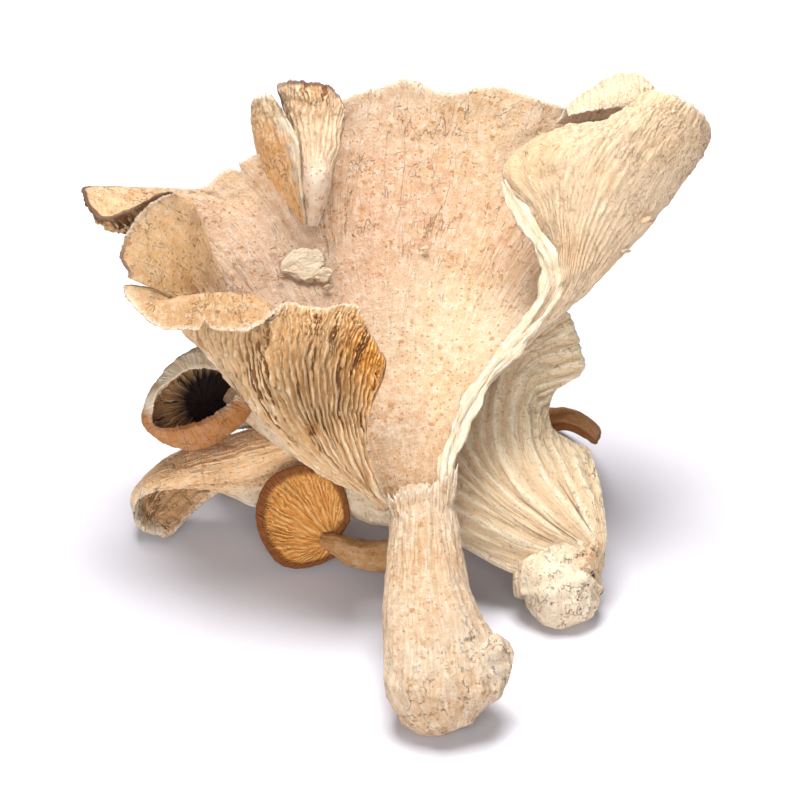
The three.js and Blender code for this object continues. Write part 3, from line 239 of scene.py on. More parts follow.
CURLED = [
  [[-40, -0.4, 50], [-44.9, -2.2, 49], [-50, -4, 45.5], [-51.6, -4.6, 40], [-49.6, -4.6, 36.5]],
  [[-40, -0.4, 50], [-44.6, -0.2, 49], [-49.5, -0.1, 45.5], [-51, 0, 40], [-48.6, 2, 36]],
  [[-40, -0.4, 50], [-43.4, 1.7, 49], [-46.9, 3.9, 45.5], [-48, 4.6, 40], [-45.6, 4.2, 35.6]],
  [[-40, -0.4, 50], [-41.7, 3.4, 49], [-43.4, 7.3, 45.5], [-44, 8.6, 40], [-42.4, 6, 35.6]],
  [[-40, -0.4, 50], [-39.4, 4.2, 49], [-38.8, 9.1, 45.5], [-38.6, 10.6, 40], [-38, 6, 36]],
  [[-40, -0.4, 50], [-37.2, 3.7, 49], [-34.3, 8, 45.5], [-33.4, 9.4, 40.4], [-35, 4.8, 36.8]],
  [[-40, -0.4, 50], [-35.6, 2, 49], [-31.1, 4.6, 45.5], [-29.6, 5.4, 41], [-32.4, 3, 38]],
  [[-40, -0.4, 50], [-35.5, -0.2, 49], [-30.9, -0.1, 45.5], [-29.4, 0, 41], [-33.4, 1, 38.4]],
  [[-40, -0.4, 50], [-36.6, -1.7, 49], [-33.1, -3.2, 45.5], [-32, -3.6, 40], [-36, -1.4, 37]],
  [[-40, -0.4, 50], [-38.6, -3.4, 49], [-37.1, -6.6, 45.5], [-36.6, -7.6, 39.4], [-40, -3.8, 35.8]],
  [[-40, -0.4, 50], [-41.1, -4.3, 49], [-42.2, -8.3, 45.5], [-42.6, -9.6, 39], [-44.6, -5, 35.2]],
  [[-40, -0.4, 50], [-43.4, -3.6, 49], [-46.9, -6.9, 45.5], [-48, -8, 39.4], [-48.2, -5.4, 35.6]],
]

TONGUE = [
  # the wall behind the fold
  [[-17.8, -10.2, 45.4], [-22, -9, 49.6], [-27.6, -12, 52.6], [-33, -16, 54], [-38, -19.6, 54],
   [-42.4, -23.2, 53.4], [-46.4, -27.4, 52], [-48.4, -28, 50.6]],
  [[-17.8, -10.4, 44], [-22, -7.4, 47], [-27.6, -6.2, 50], [-35, -8, 52.6], [-43, -10.4, 55],
   [-49.6, -14.4, 56], [-53, -20.6, 55], [-51.6, -27.4, 52.4]],
  [[-17.8, -10.4, 43], [-22, -8, 44.5], [-27.6, -7.4, 46], [-35, -9.4, 47.5], [-43, -11.4, 49],
   [-50, -14.4, 50.5], [-54.4, -20, 51.4], [-53.6, -25.6, 50.4]],
  [[-17.8, -10.8, 42], [-21.8, -9.2, 42.5], [-27.2, -9.4, 43], [-34.6, -11.4, 44],
   [-42.6, -13.4, 45.5], [-49.4, -15.6, 46.6], [-53, -18.4, 47.6], [-53.8, -21.4, 48.2]],
  [[-17.8, -11.4, 41.5], [-21.6, -10.6, 41.5], [-26.6, -11.8, 42], [-34, -14, 43],
   [-41.6, -15.2, 44.2], [-47, -16.6, 45], [-50, -17.8, 45.8], [-51, -19.4, 46.4]],
  [[-17.8, -12, 42], [-21.4, -11.8, 42.5], [-26, -13.6, 43], [-33, -15.6, 44], [-39.6, -16.2, 44.8],
   [-44, -17, 45.2], [-46.6, -17.6, 45.6], [-47.8, -18.4, 46.2]],
  [[-17.8, -13.2, 44.5], [-21.2, -13.8, 45.5], [-25.8, -15.6, 46.5], [-31.6, -16.6, 46.8],
   [-36.6, -17, 47], [-40, -17.4, 47], [-42, -17.6, 47.2], [-43.4, -18, 47.6]],
  # the pale underside that shows below the front edge
  [[-17.8, -14.6, 48], [-21.2, -15.6, 49], [-25, -17.6, 50.5], [-28.8, -21.6, 51.6], [-33, -20, 52],
   [-36.4, -18.6, 51.6], [-38.4, -18.2, 51.2], [-39.6, -18, 50.8]],
]

# A small cap's net is a root and the points round its rim, with the spokes worked out between them.
AMBER_ROOT = [-13, -28.6, 41.4]
AMBER_RIM = [
  [-10, -24.4, 40], [-10.6, -20, 39], [-12.4, -16.2, 38], [-15, -13.6, 37.5], [-18.6, -12.9, 37.5],
  [-22.6, -13.7, 37.8], [-26.2, -15.6, 38.2], [-28.4, -19, 38.8], [-29.2, -22.6, 39.8], [-28.8, -26.4, 41],
  [-27.2, -30, 42.2], [-24.6, -33.2, 43.3], [-21.4, -34.2, 43.7], [-17, -33.6, 43.4], [-12.8, -31.8, 42.6],
  [-10.4, -30.4, 42],
]
BROWN_ROOT = [26, -9.4, 49]
BROWN_RIM = [
  [40, -9.2, 50], [41, -7.6, 56], [41, -6, 64], [39.4, -5, 73], [36, -4.8, 81],
  [30, -4.8, 86], [23, -4.8, 87], [16, -4.8, 84], [12, -5.4, 76],
]
GREY_ROOT = [-20, -9, 51]
GREY_RIM = [
  [-37.4, -8.6, 54], [-39.6, -7.6, 61], [-39, -6.6, 69], [-36.4, -6, 77], [-31.6, -5.6, 83],
  [-25.6, -5.6, 85.6], [-19.4, -5.8, 84.6],
]

# Stem sections: [x, u, d, half width, half depth], from the base up.
LARGE_STEM = [
  [10.6, -65, -1.6, 4, 3],
  [9.4, -61.6, -1.4, 9.6, 7.4],
  [8.8, -56.6, -1, 12.4, 9.2],
  [8, -51.4, 0.2, 11.8, 9],
  [6.8, -46, 2.4, 10.4, 8.4],
  [5.6, -39.6, 5.8, 9, 7.4],
  [5.2, -32.4, 10, 8, 6.6],
  [5, -26, 13.6, 7.2, 6.2],
  [4.4, -22, 16.2, 6.8, 5.4],
  [4, -19.6, 19.4, 5.4, 3.6],
  [4, -18.6, 22.4, 2.4, 1.4],
]
FOOT_SHELF = [
  [8, -52, 0, 3, 3],
  [13, -51.6, -1, 5.6, 5.2],
  [18, -51.8, -1.4, 6, 5.4],
  [21.8, -52.6, -1.2, 3.2, 3],
]
RIGHT_BASE = [
  [30.4, -45.4, 29, 3, 3],
  [31, -43, 28.8, 5.8, 5.6],
  [31.8, -40, 28.8, 8.2, 7],
  [31.8, -37, 29.4, 9.6, 7.4],
  [33, -34, 30.6, 9.4, 6.2],
  [35.4, -31.2, 31, 7.4, 5],
  [37.6, -29, 31, 5, 4.4],
  [39.2, -26.6, 31.2, 2.4, 2.4],
]
HUB = [
  [-17, -13.6, 46.4, 2.4, 2.4],
  [-12.4, -16.4, 46, 5, 4.6],
  [-6, -18.6, 43, 6.6, 6],
  [2, -19, 38, 7, 6.4],
  [10, -19.6, 34, 6.2, 5.6],
  [17, -20.4, 32.4, 4, 3.6],
  [23, -22, 31.4, 1.8, 1.6],
]
CURLED_STEM = [
  [-33.6, 2.2, 46.6, 3.6, 3],
  [-28.6, -1.4, 44.6, 4.2, 3.4],
  [-23, -6, 42.6, 4, 3.4],
  [-17, -10, 40.6, 3.8, 3.4],
  [-11, -13.4, 38, 3.6, 3.2],
]
TONGUE_STEM = [
  [-21, -10.4, 45.4, 2.4, 3],
  [-16.4, -11.6, 44, 2.8, 2.8],
  [-10.6, -14.4, 40.6, 3, 3],
]
AMBER_STEM = [
  [-16, -28, 41.8, 1.4, 1.4],
  [-13, -29.2, 41.4, 2.6, 2.6],
  [-9, -30.8, 40.4, 3.2, 3.2],
  [-4, -31.4, 38.4, 3.4, 3.4],
  [1.6, -30, 35, 3.2, 3.2],
  [6, -26, 31.6, 3, 3],
]
BROWN_STEM = [
  [30, -6, 58, 2.4, 3],
  [26.4, -9, 52, 4, 4],
  [20, -13, 46.6, 4.2, 4.4],
  [12.6, -17, 41, 4.4, 4.8],
  [7, -19.4, 36, 4, 4.4],
]
GREY_STEM = [
  [-25, -6.6, 58, 2.6, 2.6],
  [-21.4, -9.6, 52.6, 4, 3.6],
  [-15.6, -13.4, 48, 4.2, 4],
  [-10, -16.6, 43, 4.4, 4.2],
]
STEM_BREAK = [[5, -60, -8.6], [-0.25, -0.5, -0.83]]  # the foot is broken off at this point, facing this way
# A strip of torn white flesh along the roll, with the sections of a thin stem.
ROLL_TEAR = [
  [8.6, -23, 10.6, 0.8, 0.6], [8.8, -17, 14.2, 1.7, 0.9], [9.6, -11.4, 17, 2, 1],
  [12.4, -3.8, 18.8, 2, 1], [16.8, 3.6, 20.4, 1.9, 1], [21.8, 9.8, 21.6, 2.1, 1],
  [26.8, 15.4, 22.4, 2, 1.1], [30, 20.6, 22.8, 2.2, 1], [30.6, 25.6, 22.8, 2.4, 1],
  [28.4, 31, 23.2, 2.2, 1], [25, 35.4, 24.4, 1.9, 0.9], [22.4, 40, 25.4, 1.7, 0.8],
  [20.6, 44, 27, 0.6, 0.5],
]


def place(points):
    """Net points in the part's own frame, in millimetres."""
    x, u, d = np.moveaxis(np.asarray(points, float), -1, 0)
    return np.stack([
        x + SHIFT[0],
        u * math.sin(LEAN) + d * math.cos(LEAN) + SHIFT[1],
        u * math.cos(LEAN) - d * math.sin(LEAN) + ROOT_HEIGHT,
    ], -1)


def unit(vectors):
    return vectors / (np.linalg.norm(vectors, axis=-1, keepdims=True) + 1e-9)


def travelled(points):
    """How far each point lies from the first one of its line, along the line."""
    steps = np.linalg.norm(np.diff(points, axis=-2), axis=-1)
    return np.concatenate([np.zeros_like(steps[..., :1]), np.cumsum(steps, -1)], -1)


def curve(points, at, closed=False):
    """Points at positions counted in control points, on a centripetal Catmull-Rom curve along axis 0."""
    points = np.asarray(points, float)
    n = len(points)
    at = np.asarray(at, float)
    i = np.clip(np.floor(at).astype(int), 0, (n if closed else n - 1) - 1)
    w = (at - i).reshape((-1,) + (1,) * (points.ndim - 1))
    if closed:
        before, start, end, after = (points[(i + k) % n] for k in (-1, 0, 1, 2))
    else:
        padded = np.concatenate([2 * points[:1] - points[1:2], points, 2 * points[-1:] - points[-2:-1]])
        before, start, end, after = (padded[i + k] for k in range(4))

    def knot(a, b, otherwise):
        """The root of the distance between two points, or something else where they are one."""
        root = (((b - a) ** 2).sum(-1, keepdims=True)) ** 0.25
        return np.where(root < 1e-4, otherwise, root)

    middle = knot(start, end, 1)
    first = knot(before, start, middle)
    last = knot(end, after, middle)
    leave = ((start - before) / first - (end - before) / (first + middle) + (end - start) / middle) * middle
    reach = ((end - start) / middle - (after - start) / (middle + last) + (after - end) / last) * middle
    return (start + leave * w + (-3 * start + 3 * end - 2 * leave - reach) * w ** 2
            + (2 * start - 2 * end + leave + reach) * w ** 3)


def waver(t, seed, octaves=5):
    """A smooth wandering value about zero, a sum of sines that the seed sets."""
    rng = np.random.default_rng(seed)
    total = np.zeros_like(t)
    for k in range(octaves):
        total += np.sin(t * 1.9 ** k * rng.uniform(0.8, 1.2) + rng.uniform(0, 6.28)) / 1.5 ** k
    return total / 2


def near(points, spots):
    """How strongly each spot [x, u, d, radius, strength] reaches each point, the strongest of them."""
    reach = np.zeros(points.shape[:-1])
    for *centre, radius, strength in spots:
        gap = np.linalg.norm(points - place(centre), axis=-1) / radius
        reach = np.maximum(reach, strength * np.clip(1.35 - gap, 0, 1))
    return reach


def resting(net, x, u):
    """The depth d at which something dropped on a net's front from the viewer's side comes to rest."""
    net = np.asarray(net, float)
    across = curve(net, np.linspace(0, len(net) - 1, 10 * len(net)))
    skin = curve(across.transpose(1, 0, 2), np.linspace(0, net.shape[1] - 1, 80)).reshape(-1, 3)
    close = skin[np.hypot(skin[:, 0] - x, skin[:, 1] - u) < 2.5]
    return close[close[:, 2].argmin(), 2]


def fan(root, rim, steps, bulge):
    """Spokes from a root to each rim point, with the middle of the cap pushed along the bulge."""
    spokes = []
    for end in rim:
        span = min(1, math.dist(root, end) / FULL_REACH)
        shares = np.linspace(ROOT_SHARE, 1, steps + 1)[:, None]
        swell = np.sin(np.pi * shares) * span ** 2
        spokes.append(np.array(root) * (1 - shares) + np.array(end) * shares + np.array(bulge) * swell)
    return np.array(spokes)


class Flesh:
    """Gathers closed skins into one mesh. Every vertex carries what the relief and the material read."""

    # How strongly each mark shows. The third sets how far the gills stand out and how much shade is painted
    # between them; over 1 it paints the near-black shade of a deep hollow.
    MARKS = ("torn", "amber", "gloom", "dirt", "dark", "furrow", "lump")
    # along is the share of the way from root to rim, and edge the millimetres that are left to it.
    SCALARS = ("gilled", "along", "edge") + MARKS
    # out is the way the skin faces, and flow the millimetres across and along the grain.
    VECTORS = ("out", "flow", "tint")

    def __init__(self, tint):
        self.tint = tint
        self.count = 0
        self.points = []
        self.faces = []
        self.values = {name: [] for name in self.SCALARS + self.VECTORS}

    def painted(self, points, paint, marks):
        """The tint and marks of each point: the same for all of them, but for the spots in paint."""
        paint = paint or {}
        tint = np.broadcast_to(self.tint, points.shape).copy()
        for colour, spots in paint.get("tint", ()):
            tint += (np.array(colour) - tint) * near(points, spots)[..., None]
        values = {"tint": tint}
        for name in self.MARKS:
            everywhere = np.full(points.shape[:-1], float(marks.get(name, 0)))
            values[name] = np.maximum(everywhere, near(points, paint[name])) if name in paint else everywhere
        return values

    def add(self, points, faces, **values):
        points = points.reshape(-1, 3)
        self.points.append(points)
        self.faces += [np.asarray(group) + self.count for group in faces]
        for name in self.SCALARS:
            value = np.asarray(values.get(name, 0.0), float).ravel()
            self.values[name].append(np.broadcast_to(value, len(points)))
        for name in self.VECTORS:
            self.values[name].append(values[name].reshape(-1, 3))
        self.count += len(points)

    def mesh(self, name):
        points = np.concatenate(self.points) * MM
        sizes = np.concatenate([np.full(len(group), group.shape[1]) for group in self.faces])
        corners = np.concatenate([group.ravel() for group in self.faces])
        mesh = bpy.data.meshes.new(name)
        mesh.vertices.add(len(points))
        mesh.vertices.foreach_set("co", points.ravel())
        mesh.loops.add(len(corners))
        mesh.loops.foreach_set("vertex_index", corners)
        mesh.polygons.add(len(sizes))
        mesh.polygons.foreach_set("loop_start", np.concatenate([[0], np.cumsum(sizes)[:-1]]))
        mesh.update(calc_edges=True)
        for keys, kind, field in ((self.SCALARS, "FLOAT", "value"), (self.VECTORS, "FLOAT_VECTOR", "vector")):
            for key in keys:
                numbers = np.concatenate(self.values[key]).astype(np.float32)
                mesh.attributes.new(key, kind, "POINT").data.foreach_set(field, numbers.ravel())
        mesh.validate()
        # the columns of a closed skin meet in one pole
        skin = bmesh.new()
        skin.from_mesh(mesh)
        bmesh.ops.remove_doubles(skin, verts=skin.verts, dist=1e-3 * MM)
        skin.to_mesh(mesh)
        skin.free()
        return mesh


def quads(index):
    """Faces with four corners between the points of a grid."""
    return np.stack([index[:-1, :-1], index[1:, :-1], index[1:, 1:], index[:-1, 1:]], -1).reshape(-1, 4)


SKIN_STEPS = 160  # places worked out along a column before its rows are set
SMOOTHING = 10  # rounds of evening out the way the skin faces
RIM_BAND = 1.2  # millimetres from the last of the even rows to the rim
# The rows next to the rim: millimetres from it, and the share of the thickness left there.
RIM_ROWS = ((0.9, 0.95), (0.45, 0.72), (0.18, 0.45), (0.0, 0.22))
SIDE_THIN = ((0, 1, 2, 4), (0.25, 0.6, 0.85, 1))  # columns from a free side, and the share left there


def rim_cut(at, ragged, tears, seed):
    """Millimetres that chips and tears take off the rim at each column."""
    cut = ragged * (0.45 + 0.35 * waver(at * 9, seed) + 0.25 * np.abs(waver(at * 31, seed + 1)))
    cut = np.clip(cut, 0, None)
    for spoke, depth, half in tears:
        cut = cut + depth * np.clip(1 - np.abs(at - spoke) / half, 0, 1)
    return cut


def facing(points, closed):
    """The way a grid of points faces, evened out from column to column."""
    across = np.roll(points, -1, 0) - np.roll(points, 1, 0) if closed else np.gradient(points, axis=0)
    normal = unit(np.cross(across, np.gradient(points, axis=1)))
    for _ in range(SMOOTHING):
        ends = (normal[-1:], normal[:1]) if closed else (normal[:1], normal[-1:])
        wide = np.concatenate([ends[0], normal, ends[1]])
        normal = unit(normal + (wide[:-2] + wide[2:]))
    if closed:
        normal[:, 0] = unit(normal[:, 1].mean(0))
    return normal


def sheet_faces(columns, rows, closed):
    """Faces of a sheet's two skins, and of the walls that join them."""
    total = columns * rows
    index = np.arange(total).reshape(columns, rows)
    if closed:
        index = np.concatenate([index, index[:1]])

    def wall(line):
        return quads(np.stack([line, line + total]))

    faces = [quads(index), quads(index + total)[:, ::-1], wall(index[:, -1])[:, ::-1]]
    if not closed:
        faces += [wall(index[:, 0]), wall(index[0])[:, ::-1], wall(index[-1])]
    return faces


def sheet(flesh, net, thick, columns, rows, side=-1, closed=False, ragged=0.8, tears=(), seed=1,
          start=0.0, fall=0.08, gill_fade=1.2, paint=None, **marks):
    """Adds a cap: a thick sheet through the net's spokes, gilled on one side, with a ragged rim.

    columns is the number of columns in each gap between spokes, as one number or a list of them.
    Gills rise between the shares start and start + fall of the way to the rim.
    tears are [spoke, depth in millimetres, half width in spokes] notches in the rim.
    """
    net = place(net)
    gaps = len(net) if closed else len(net) - 1
    per_gap = [columns] * gaps if np.isscalar(columns) else columns
    at = np.concatenate([i + np.arange(n) / n for i, n in enumerate(per_gap)] + ([] if closed else [[gaps]]))
    spokes = curve(net.transpose(1, 0, 2), np.linspace(0, net.shape[1] - 1, SKIN_STEPS))
    skin = curve(spokes.transpose(1, 0, 2), at, closed)
    length = travelled(skin)
    whole = length[:, -1]
    reach = whole * np.clip(1 - rim_cut(at, ragged, tears, seed) / whole, 0.05, 1)

    # even rows that crowd a little towards the rim, then the rim's own
    share = np.linspace(0, 1, rows + 1)[:-1]
    share = share * (1 - 0.25 * share ** 3) / 0.75 * 0.985
    from_rim, rim_thin = np.array(RIM_ROWS).T
    target = np.concatenate([share * (reach - RIM_BAND)[:, None], reach[:, None] - from_rim], 1)
    points = np.stack([
        np.stack([np.interp(target[c], length[c], skin[c, :, k]) for k in range(3)], -1)
        for c in range(len(at))
    ])
    normal = facing(points, closed)

    v = target / whole[:, None]
    half = (thick + (RIM - thick) * v ** 1.5) * np.minimum(1, 0.35 + 2.6 * v) / 2
    half[:, -len(rim_thin):] *= rim_thin
    to_rim = reach[:, None] - target
    if not closed:
        column = np.arange(len(at))
        half *= np.interp(np.minimum(column, column[::-1]), *SIDE_THIN)[:, None]
        for free_side in (points[:1], points[-1:]):
            to_rim = np.minimum(to_rim, np.linalg.norm(points - free_side, axis=2))

    values = flesh.painted(points, paint, marks)
    for name in ("furrow", "lump"):
        values[name] *= np.clip(to_rim / 0.8, 0.3, 1) * (np.clip(v * 4, 0, 1) if closed else 1)
    across = travelled(points[:, int(rows * 0.75)])[:, None]
    values["flow"] = np.stack(np.broadcast_arrays(across, target, 0.0), -1)
    fade = np.clip((v - start) / fall, 0, 1) * np.clip(to_rim / gill_fade, 0, 1)
    faces = sheet_faces(*target.shape, closed)
    shade_marks = values["gloom"]
    for way in (1, -1):
        # gills, the shade painted between them and the painted shade of deep hollows show on one side alone
        gilled = way == side
        values["gloom"] = shade_marks if gilled else np.minimum(shade_marks, 1)
        flesh.add(points + normal * half[..., None] * way, faces, out=normal * way, gilled=fade * gilled,
                  along=v, edge=np.clip(to_rim, 0, 12), **values)
        faces = []


def loft(flesh, sections, rings, sides, uneven=0.05, paint=None, broken=None, **marks):
    """Adds a stem or a strip of torn flesh: rings round a curved axis, closed at both ends.

    broken is [point, facing]: the flesh beyond the plane through the point has broken off.
    """
    sections = np.asarray(sections, float)
    last = len(sections) - 1
    at = np.linspace(0, last, rings + 1)
    centre = curve(place(sections[:, :3]), at)
    size = curve(sections[:, 3:], at)
    tangent = unit(np.gradient(centre, axis=0))
    reference = np.array([0, 0.6, 0.8] if abs(tangent[0, 0]) > 0.8 else [1, 0, 0], float)
    wide = unit(reference - tangent * (tangent @ reference)[:, None])
    deep = np.cross(tangent, wide)
    a = 2 * np.pi * np.arange(sides) / sides
    t = (at / last)[:, None]
    relief = 1 + uneven * (np.sin(3 * a + 9 * t) + 0.7 * np.sin(5 * a - 14 * t + 1)) * 0.5
    spread = (wide[:, None] * (size[:, :1] * relief * np.cos(a))[..., None]
              + deep[:, None] * (size[:, 1:] * relief * np.sin(a))[..., None])
    flow = np.stack(np.broadcast_arrays(a * size.mean(), travelled(centre)[:, None], 5.0), -1)

    def with_ends(ringed, first, final):
        return np.concatenate([ringed.reshape(-1, 3), first, final])

    points = with_ends(centre[:, None] + spread, centre[:1], centre[-1:])
    if broken:
        way = unit(place(broken[1]) - place([0, 0, 0]))
        beyond = (points - place(broken[0])) @ way
        points -= np.clip(beyond, 0, None)[:, None] * way
    index = np.arange((rings + 1) * sides).reshape(rings + 1, sides)
    index = np.concatenate([index, index[:, :1]], 1)
    poles = [np.full(sides, len(points) - k) for k in (2, 1)]
    faces = [
        quads(index.T),
        np.stack([poles[0], index[0, 1:], index[0, :-1]], -1),
        np.stack([poles[1], index[-1, :-1], index[-1, 1:]], -1),
    ]
    flesh.add(points, faces, out=with_ends(unit(spread), -tangent[:1], tangent[-1:]),
              flow=with_ends(flow, flow[0, :1], flow[-1, :1]), edge=12.0,
              **flesh.painted(points, paint, marks))


class Wire:
    """One output of a node tree, which adds, multiplies and compares as a number does."""

    def __init__(self, nodes, socket):
        self.nodes = nodes
        self.socket = socket

    def math(self, operation, *others, clamp=False):
        values = dict(enumerate((self, *others)))
        return self.nodes.make("ShaderNodeMath", {"operation": operation, "use_clamp": clamp}, values)

    def __add__(self, other):
        return self.math("ADD", other)

    def __radd__(self, other):
        return self.math("ADD", other)

    def __sub__(self, other):
        return self.math("SUBTRACT", other)

    def __rsub__(self, other):
        return self * -1 + other

    def __mul__(self, other):
        return self.math("MULTIPLY", other)

    def __rmul__(self, other):
        return self.math("MULTIPLY", other)

    def __truediv__(self, other):
        return self.math("DIVIDE", other)

    def __pow__(self, other):
        return self.math("POWER", other)

    def step(self, low, high):
        """0 below low, 1 above high, eased between; high may be the lower one."""
        return self.nodes.make(
            "ShaderNodeMapRange",
            {"interpolation_type": "SMOOTHSTEP"},
            {"Value": self, "From Min": low, "From Max": high, "To Min": 0.0, "To Max": 1.0},
        )


class Nodes:
    """Makes the nodes of one tree."""

    def __init__(self, tree):
        self.tree = tree

    def make(self, kind, settings=None, sockets=None, output=0):
        node = self.tree.nodes.new(kind)
        for key, value in (settings or {}).items():
            setattr(node, key, value)
        for key, value in (sockets or {}).items():
            socket = node.inputs[key]
            if isinstance(value, Wire):
                self.tree.links.new(value.socket, socket)
            else:
                socket.default_value = value
        return Wire(self, node.outputs[output]) if node.outputs else None

    def vector(self, operation, first, second):
        """Vector maths; the second of a SCALE is a number."""
        key = "Scale" if operation == "SCALE" else 1
        return self.make("ShaderNodeVectorMath", {"operation": operation}, {0: first, key: second})

    def part(self, vector, axis=0):
        """One of the three numbers in a vector."""
        return self.make("ShaderNodeSeparateXYZ", None, {0: vector}, axis)

    def mix(self, factor, a, b):
        """Colour a going over to colour b."""
        colours = {6: a, 7: b}
        for key, value in colours.items():
            if not isinstance(value, Wire):
                colours[key] = (*value, 1.0)
        return self.make("ShaderNodeMix", {"data_type": "RGBA"}, {0: factor, **colours}, 2)

    def noise(self, vector, scale, detail=3.0, roughness=0.55, distortion=0.0, output=0):
        sockets = {"Vector": vector, "Scale": scale, "Detail": detail, "Roughness": roughness,
                   "Distortion": distortion}
        return self.make("ShaderNodeTexNoise", None, sockets, output)

    def grain(self, flow, across, along, detail=4.0, roughness=0.6, distortion=0.0):
        """Noise in marks to the millimetre across and along the way the flesh grew."""
        return self.noise(
            self.vector("MULTIPLY", flow, (across, along, 1.0)), 1.0, detail, roughness, distortion)

    def strayed(self, vector, scale, detail, roughness, reach):
        """The vector pushed about by noise."""
        push = self.vector("SCALE", self.noise(vector, scale, detail, roughness, output=1), reach)
        return self.vector("ADD", vector, push)

    def spots(self, vector, scale, share, size):
        """Round spots with uneven outlines, in so great a share of the cells of a pattern."""
        sockets = {"Vector": self.strayed(vector, scale * 2.6, 2.0, 0.55, 0.7 / scale), "Scale": scale}
        reach = self.make("ShaderNodeTexVoronoi", None, sockets)
        which = self.part(self.make("ShaderNodeTexVoronoi", None, sockets, 1))
        return reach.step(size, size * 0.55) * which.step(1 - share, 1.06 - share)


FIBRE = (1.1, 0.06)  # furrows to the millimetre across and along the way the flesh grew
RIDGE_SHAPE = 0.7  # below 1, a gill's crest is broad and the gap beside it narrow
# How many ridges stand in one spacing, and how far to the rim each set of new ones begins.
FORKS = ((0.5, 0.16), (1.0, 0.36), (2.0, 0.74))
FURROW_DEPTH = 2 * MM
LUMP_HEIGHT = 2 * MM


def relief_tree():
    """Geometry nodes that raise the gills, furrows and lumps on a piece's skins."""
    tree = bpy.data.node_groups.new("Gills and furrows", "GeometryNodeTree")
    face = tree.interface
    face.new_socket("Geometry", in_out="INPUT", socket_type="NodeSocketGeometry")
    for name, default in (("Gill Height", 0.0009), ("Gill Spacing", 1.5), ("Gill Waver", 0.6), ("Seed", 0.0)):
        face.new_socket(name, in_out="INPUT", socket_type="NodeSocketFloat").default_value = default
    face.new_socket("Material", in_out="INPUT", socket_type="NodeSocketMaterial")
    face.new_socket("Geometry", in_out="OUTPUT", socket_type="NodeSocketGeometry")
    nodes = Nodes(tree)
    given = tree.nodes.new("NodeGroupInput")
    geometry, height, spacing, wavering, seed, material = (Wire(nodes, given.outputs[k]) for k in range(6))

    def carried(name, kind="FLOAT"):
        return nodes.make("GeometryNodeInputNamedAttribute", {"data_type": kind}, {"Name": name})

    flow = carried("flow", "FLOAT_VECTOR")
    place_mm = nodes.vector("SCALE", nodes.make("GeometryNodeInputPosition"), 1 / MM)
    away = nodes.make("ShaderNodeCombineXYZ", None, {"X": seed, "Y": seed * 2, "Z": seed * 3})
    shifted = nodes.vector("ADD", place_mm, away)
    # the ridges swing together, and each is now wider and now narrower
    sway = (nodes.noise(shifted, 0.13, 2.0) - 0.5) * 6 + (nodes.noise(shifted, 0.38, 4.0, 0.6) - 0.5) * 5.5
    swell = (nodes.grain(flow, 0.35, 0.05, 2.0, 0.55) - 0.5) * 3
    phase = (nodes.part(flow) + (sway + swell) * wavering) / spacing
    # each ridge forks again and again on its way to the rim, not all at the same place
    fork = carried("along") + nodes.grain(flow, 0.45, 0.02, 1.0, 0.55) * 0.5 - 0.25

    def ridges(turns):
        wave = (phase * (6.28318 * turns)).math("COSINE") * 0.5 + 0.5
        return wave ** RIDGE_SHAPE

    crest = ridges(0.25)
    for turns, start in FORKS:
        share = fork.step(start, start + 0.12)
        crest = crest * (1 - share) + ridges(turns) * share
    worn = nodes.noise(shifted, 0.6, 4.0, 0.65).step(0.25, 0.65) * 0.6 + 0.4
    frill = (nodes.grain(flow, 1.6, 0.9, 3.0) - 0.5) * 0.7
    deep = carried("gloom") * 0.6 + 0.4
    gills = carried("gilled") * (crest * worn + frill * crest) * height * deep
    fibre = (nodes.grain(flow, *FIBRE) - 0.5).math("ABSOLUTE") * 1.6 - 0.2
    furrows = nodes.grain(flow, 0.5, 0.05, 3.0) - 0.5 + fibre.math("MINIMUM", 0.0)
    cells = nodes.make("ShaderNodeTexVoronoi", None, {"Vector": shifted, "Scale": 0.32})
    humps = nodes.noise(shifted, 0.16, 2.6, 0.6) - 0.58 - (cells - 0.45) * 0.3
    offset = gills + furrows * carried("furrow") * FURROW_DEPTH + humps * carried("lump") * LUMP_HEIGHT
    moved = nodes.make("GeometryNodeSetPosition", None, {
        "Geometry": geometry,
        "Offset": nodes.vector("SCALE", carried("out", "FLOAT_VECTOR"), offset),
    })
    kept = nodes.make("GeometryNodeStoreNamedAttribute", {"data_type": "FLOAT", "domain": "POINT"},
                      {"Geometry": moved, "Name": "crest", "Value": crest})
    real = nodes.make("GeometryNodeRealizeInstances", None, {"Geometry": kept})
    done = nodes.make("GeometryNodeSetMaterial", None, {"Geometry": real, "Material": material})
    tree.links.new(done.socket, tree.nodes.new("NodeGroupOutput").inputs[0])
    return tree


# What the flesh goes over to, from its own tint.
BLEACHED = (0.98, 0.88, 0.72)
SHADED = (0.42, 0.19, 0.07)
SPECK = (0.48, 0.17, 0.03)
# painted shade for the bottoms of furrows
GROOVE_SHADE = (0.50, 0.22, 0.06)
CRACK = (0.33, 0.18, 0.09)
WRINKLE = (0.25, 0.13, 0.07)
VEIN = (0.13, 0.065, 0.045)
DRY_CREST = (0.92, 0.76, 0.54)
# painted highlight along the top of the gills' crests
CREST_HIGHLIGHT = (0.97, 0.86, 0.66)
WORN_CREST = (0.45, 0.24, 0.10)
AMBER_CREST = ((0.84, 0.38, 0.08), (0.98, 0.70, 0.30))
AMBER_GAP = (0.68, 0.26, 0.04)
AMBER_SKIN = (0.50, 0.22, 0.07)
GILL_SPECK = (0.52, 0.24, 0.08)
# near-black painted shade for the deepest hollows
PIT_SHADE = (0.022, 0.009, 0.008)
PALE_RIM = (0.92, 0.84, 0.70)
TORN_FIBRES = ((0.84, 0.64, 0.40), (1.0, 0.90, 0.74))
GRIME = (0.05, 0.04, 0.04)


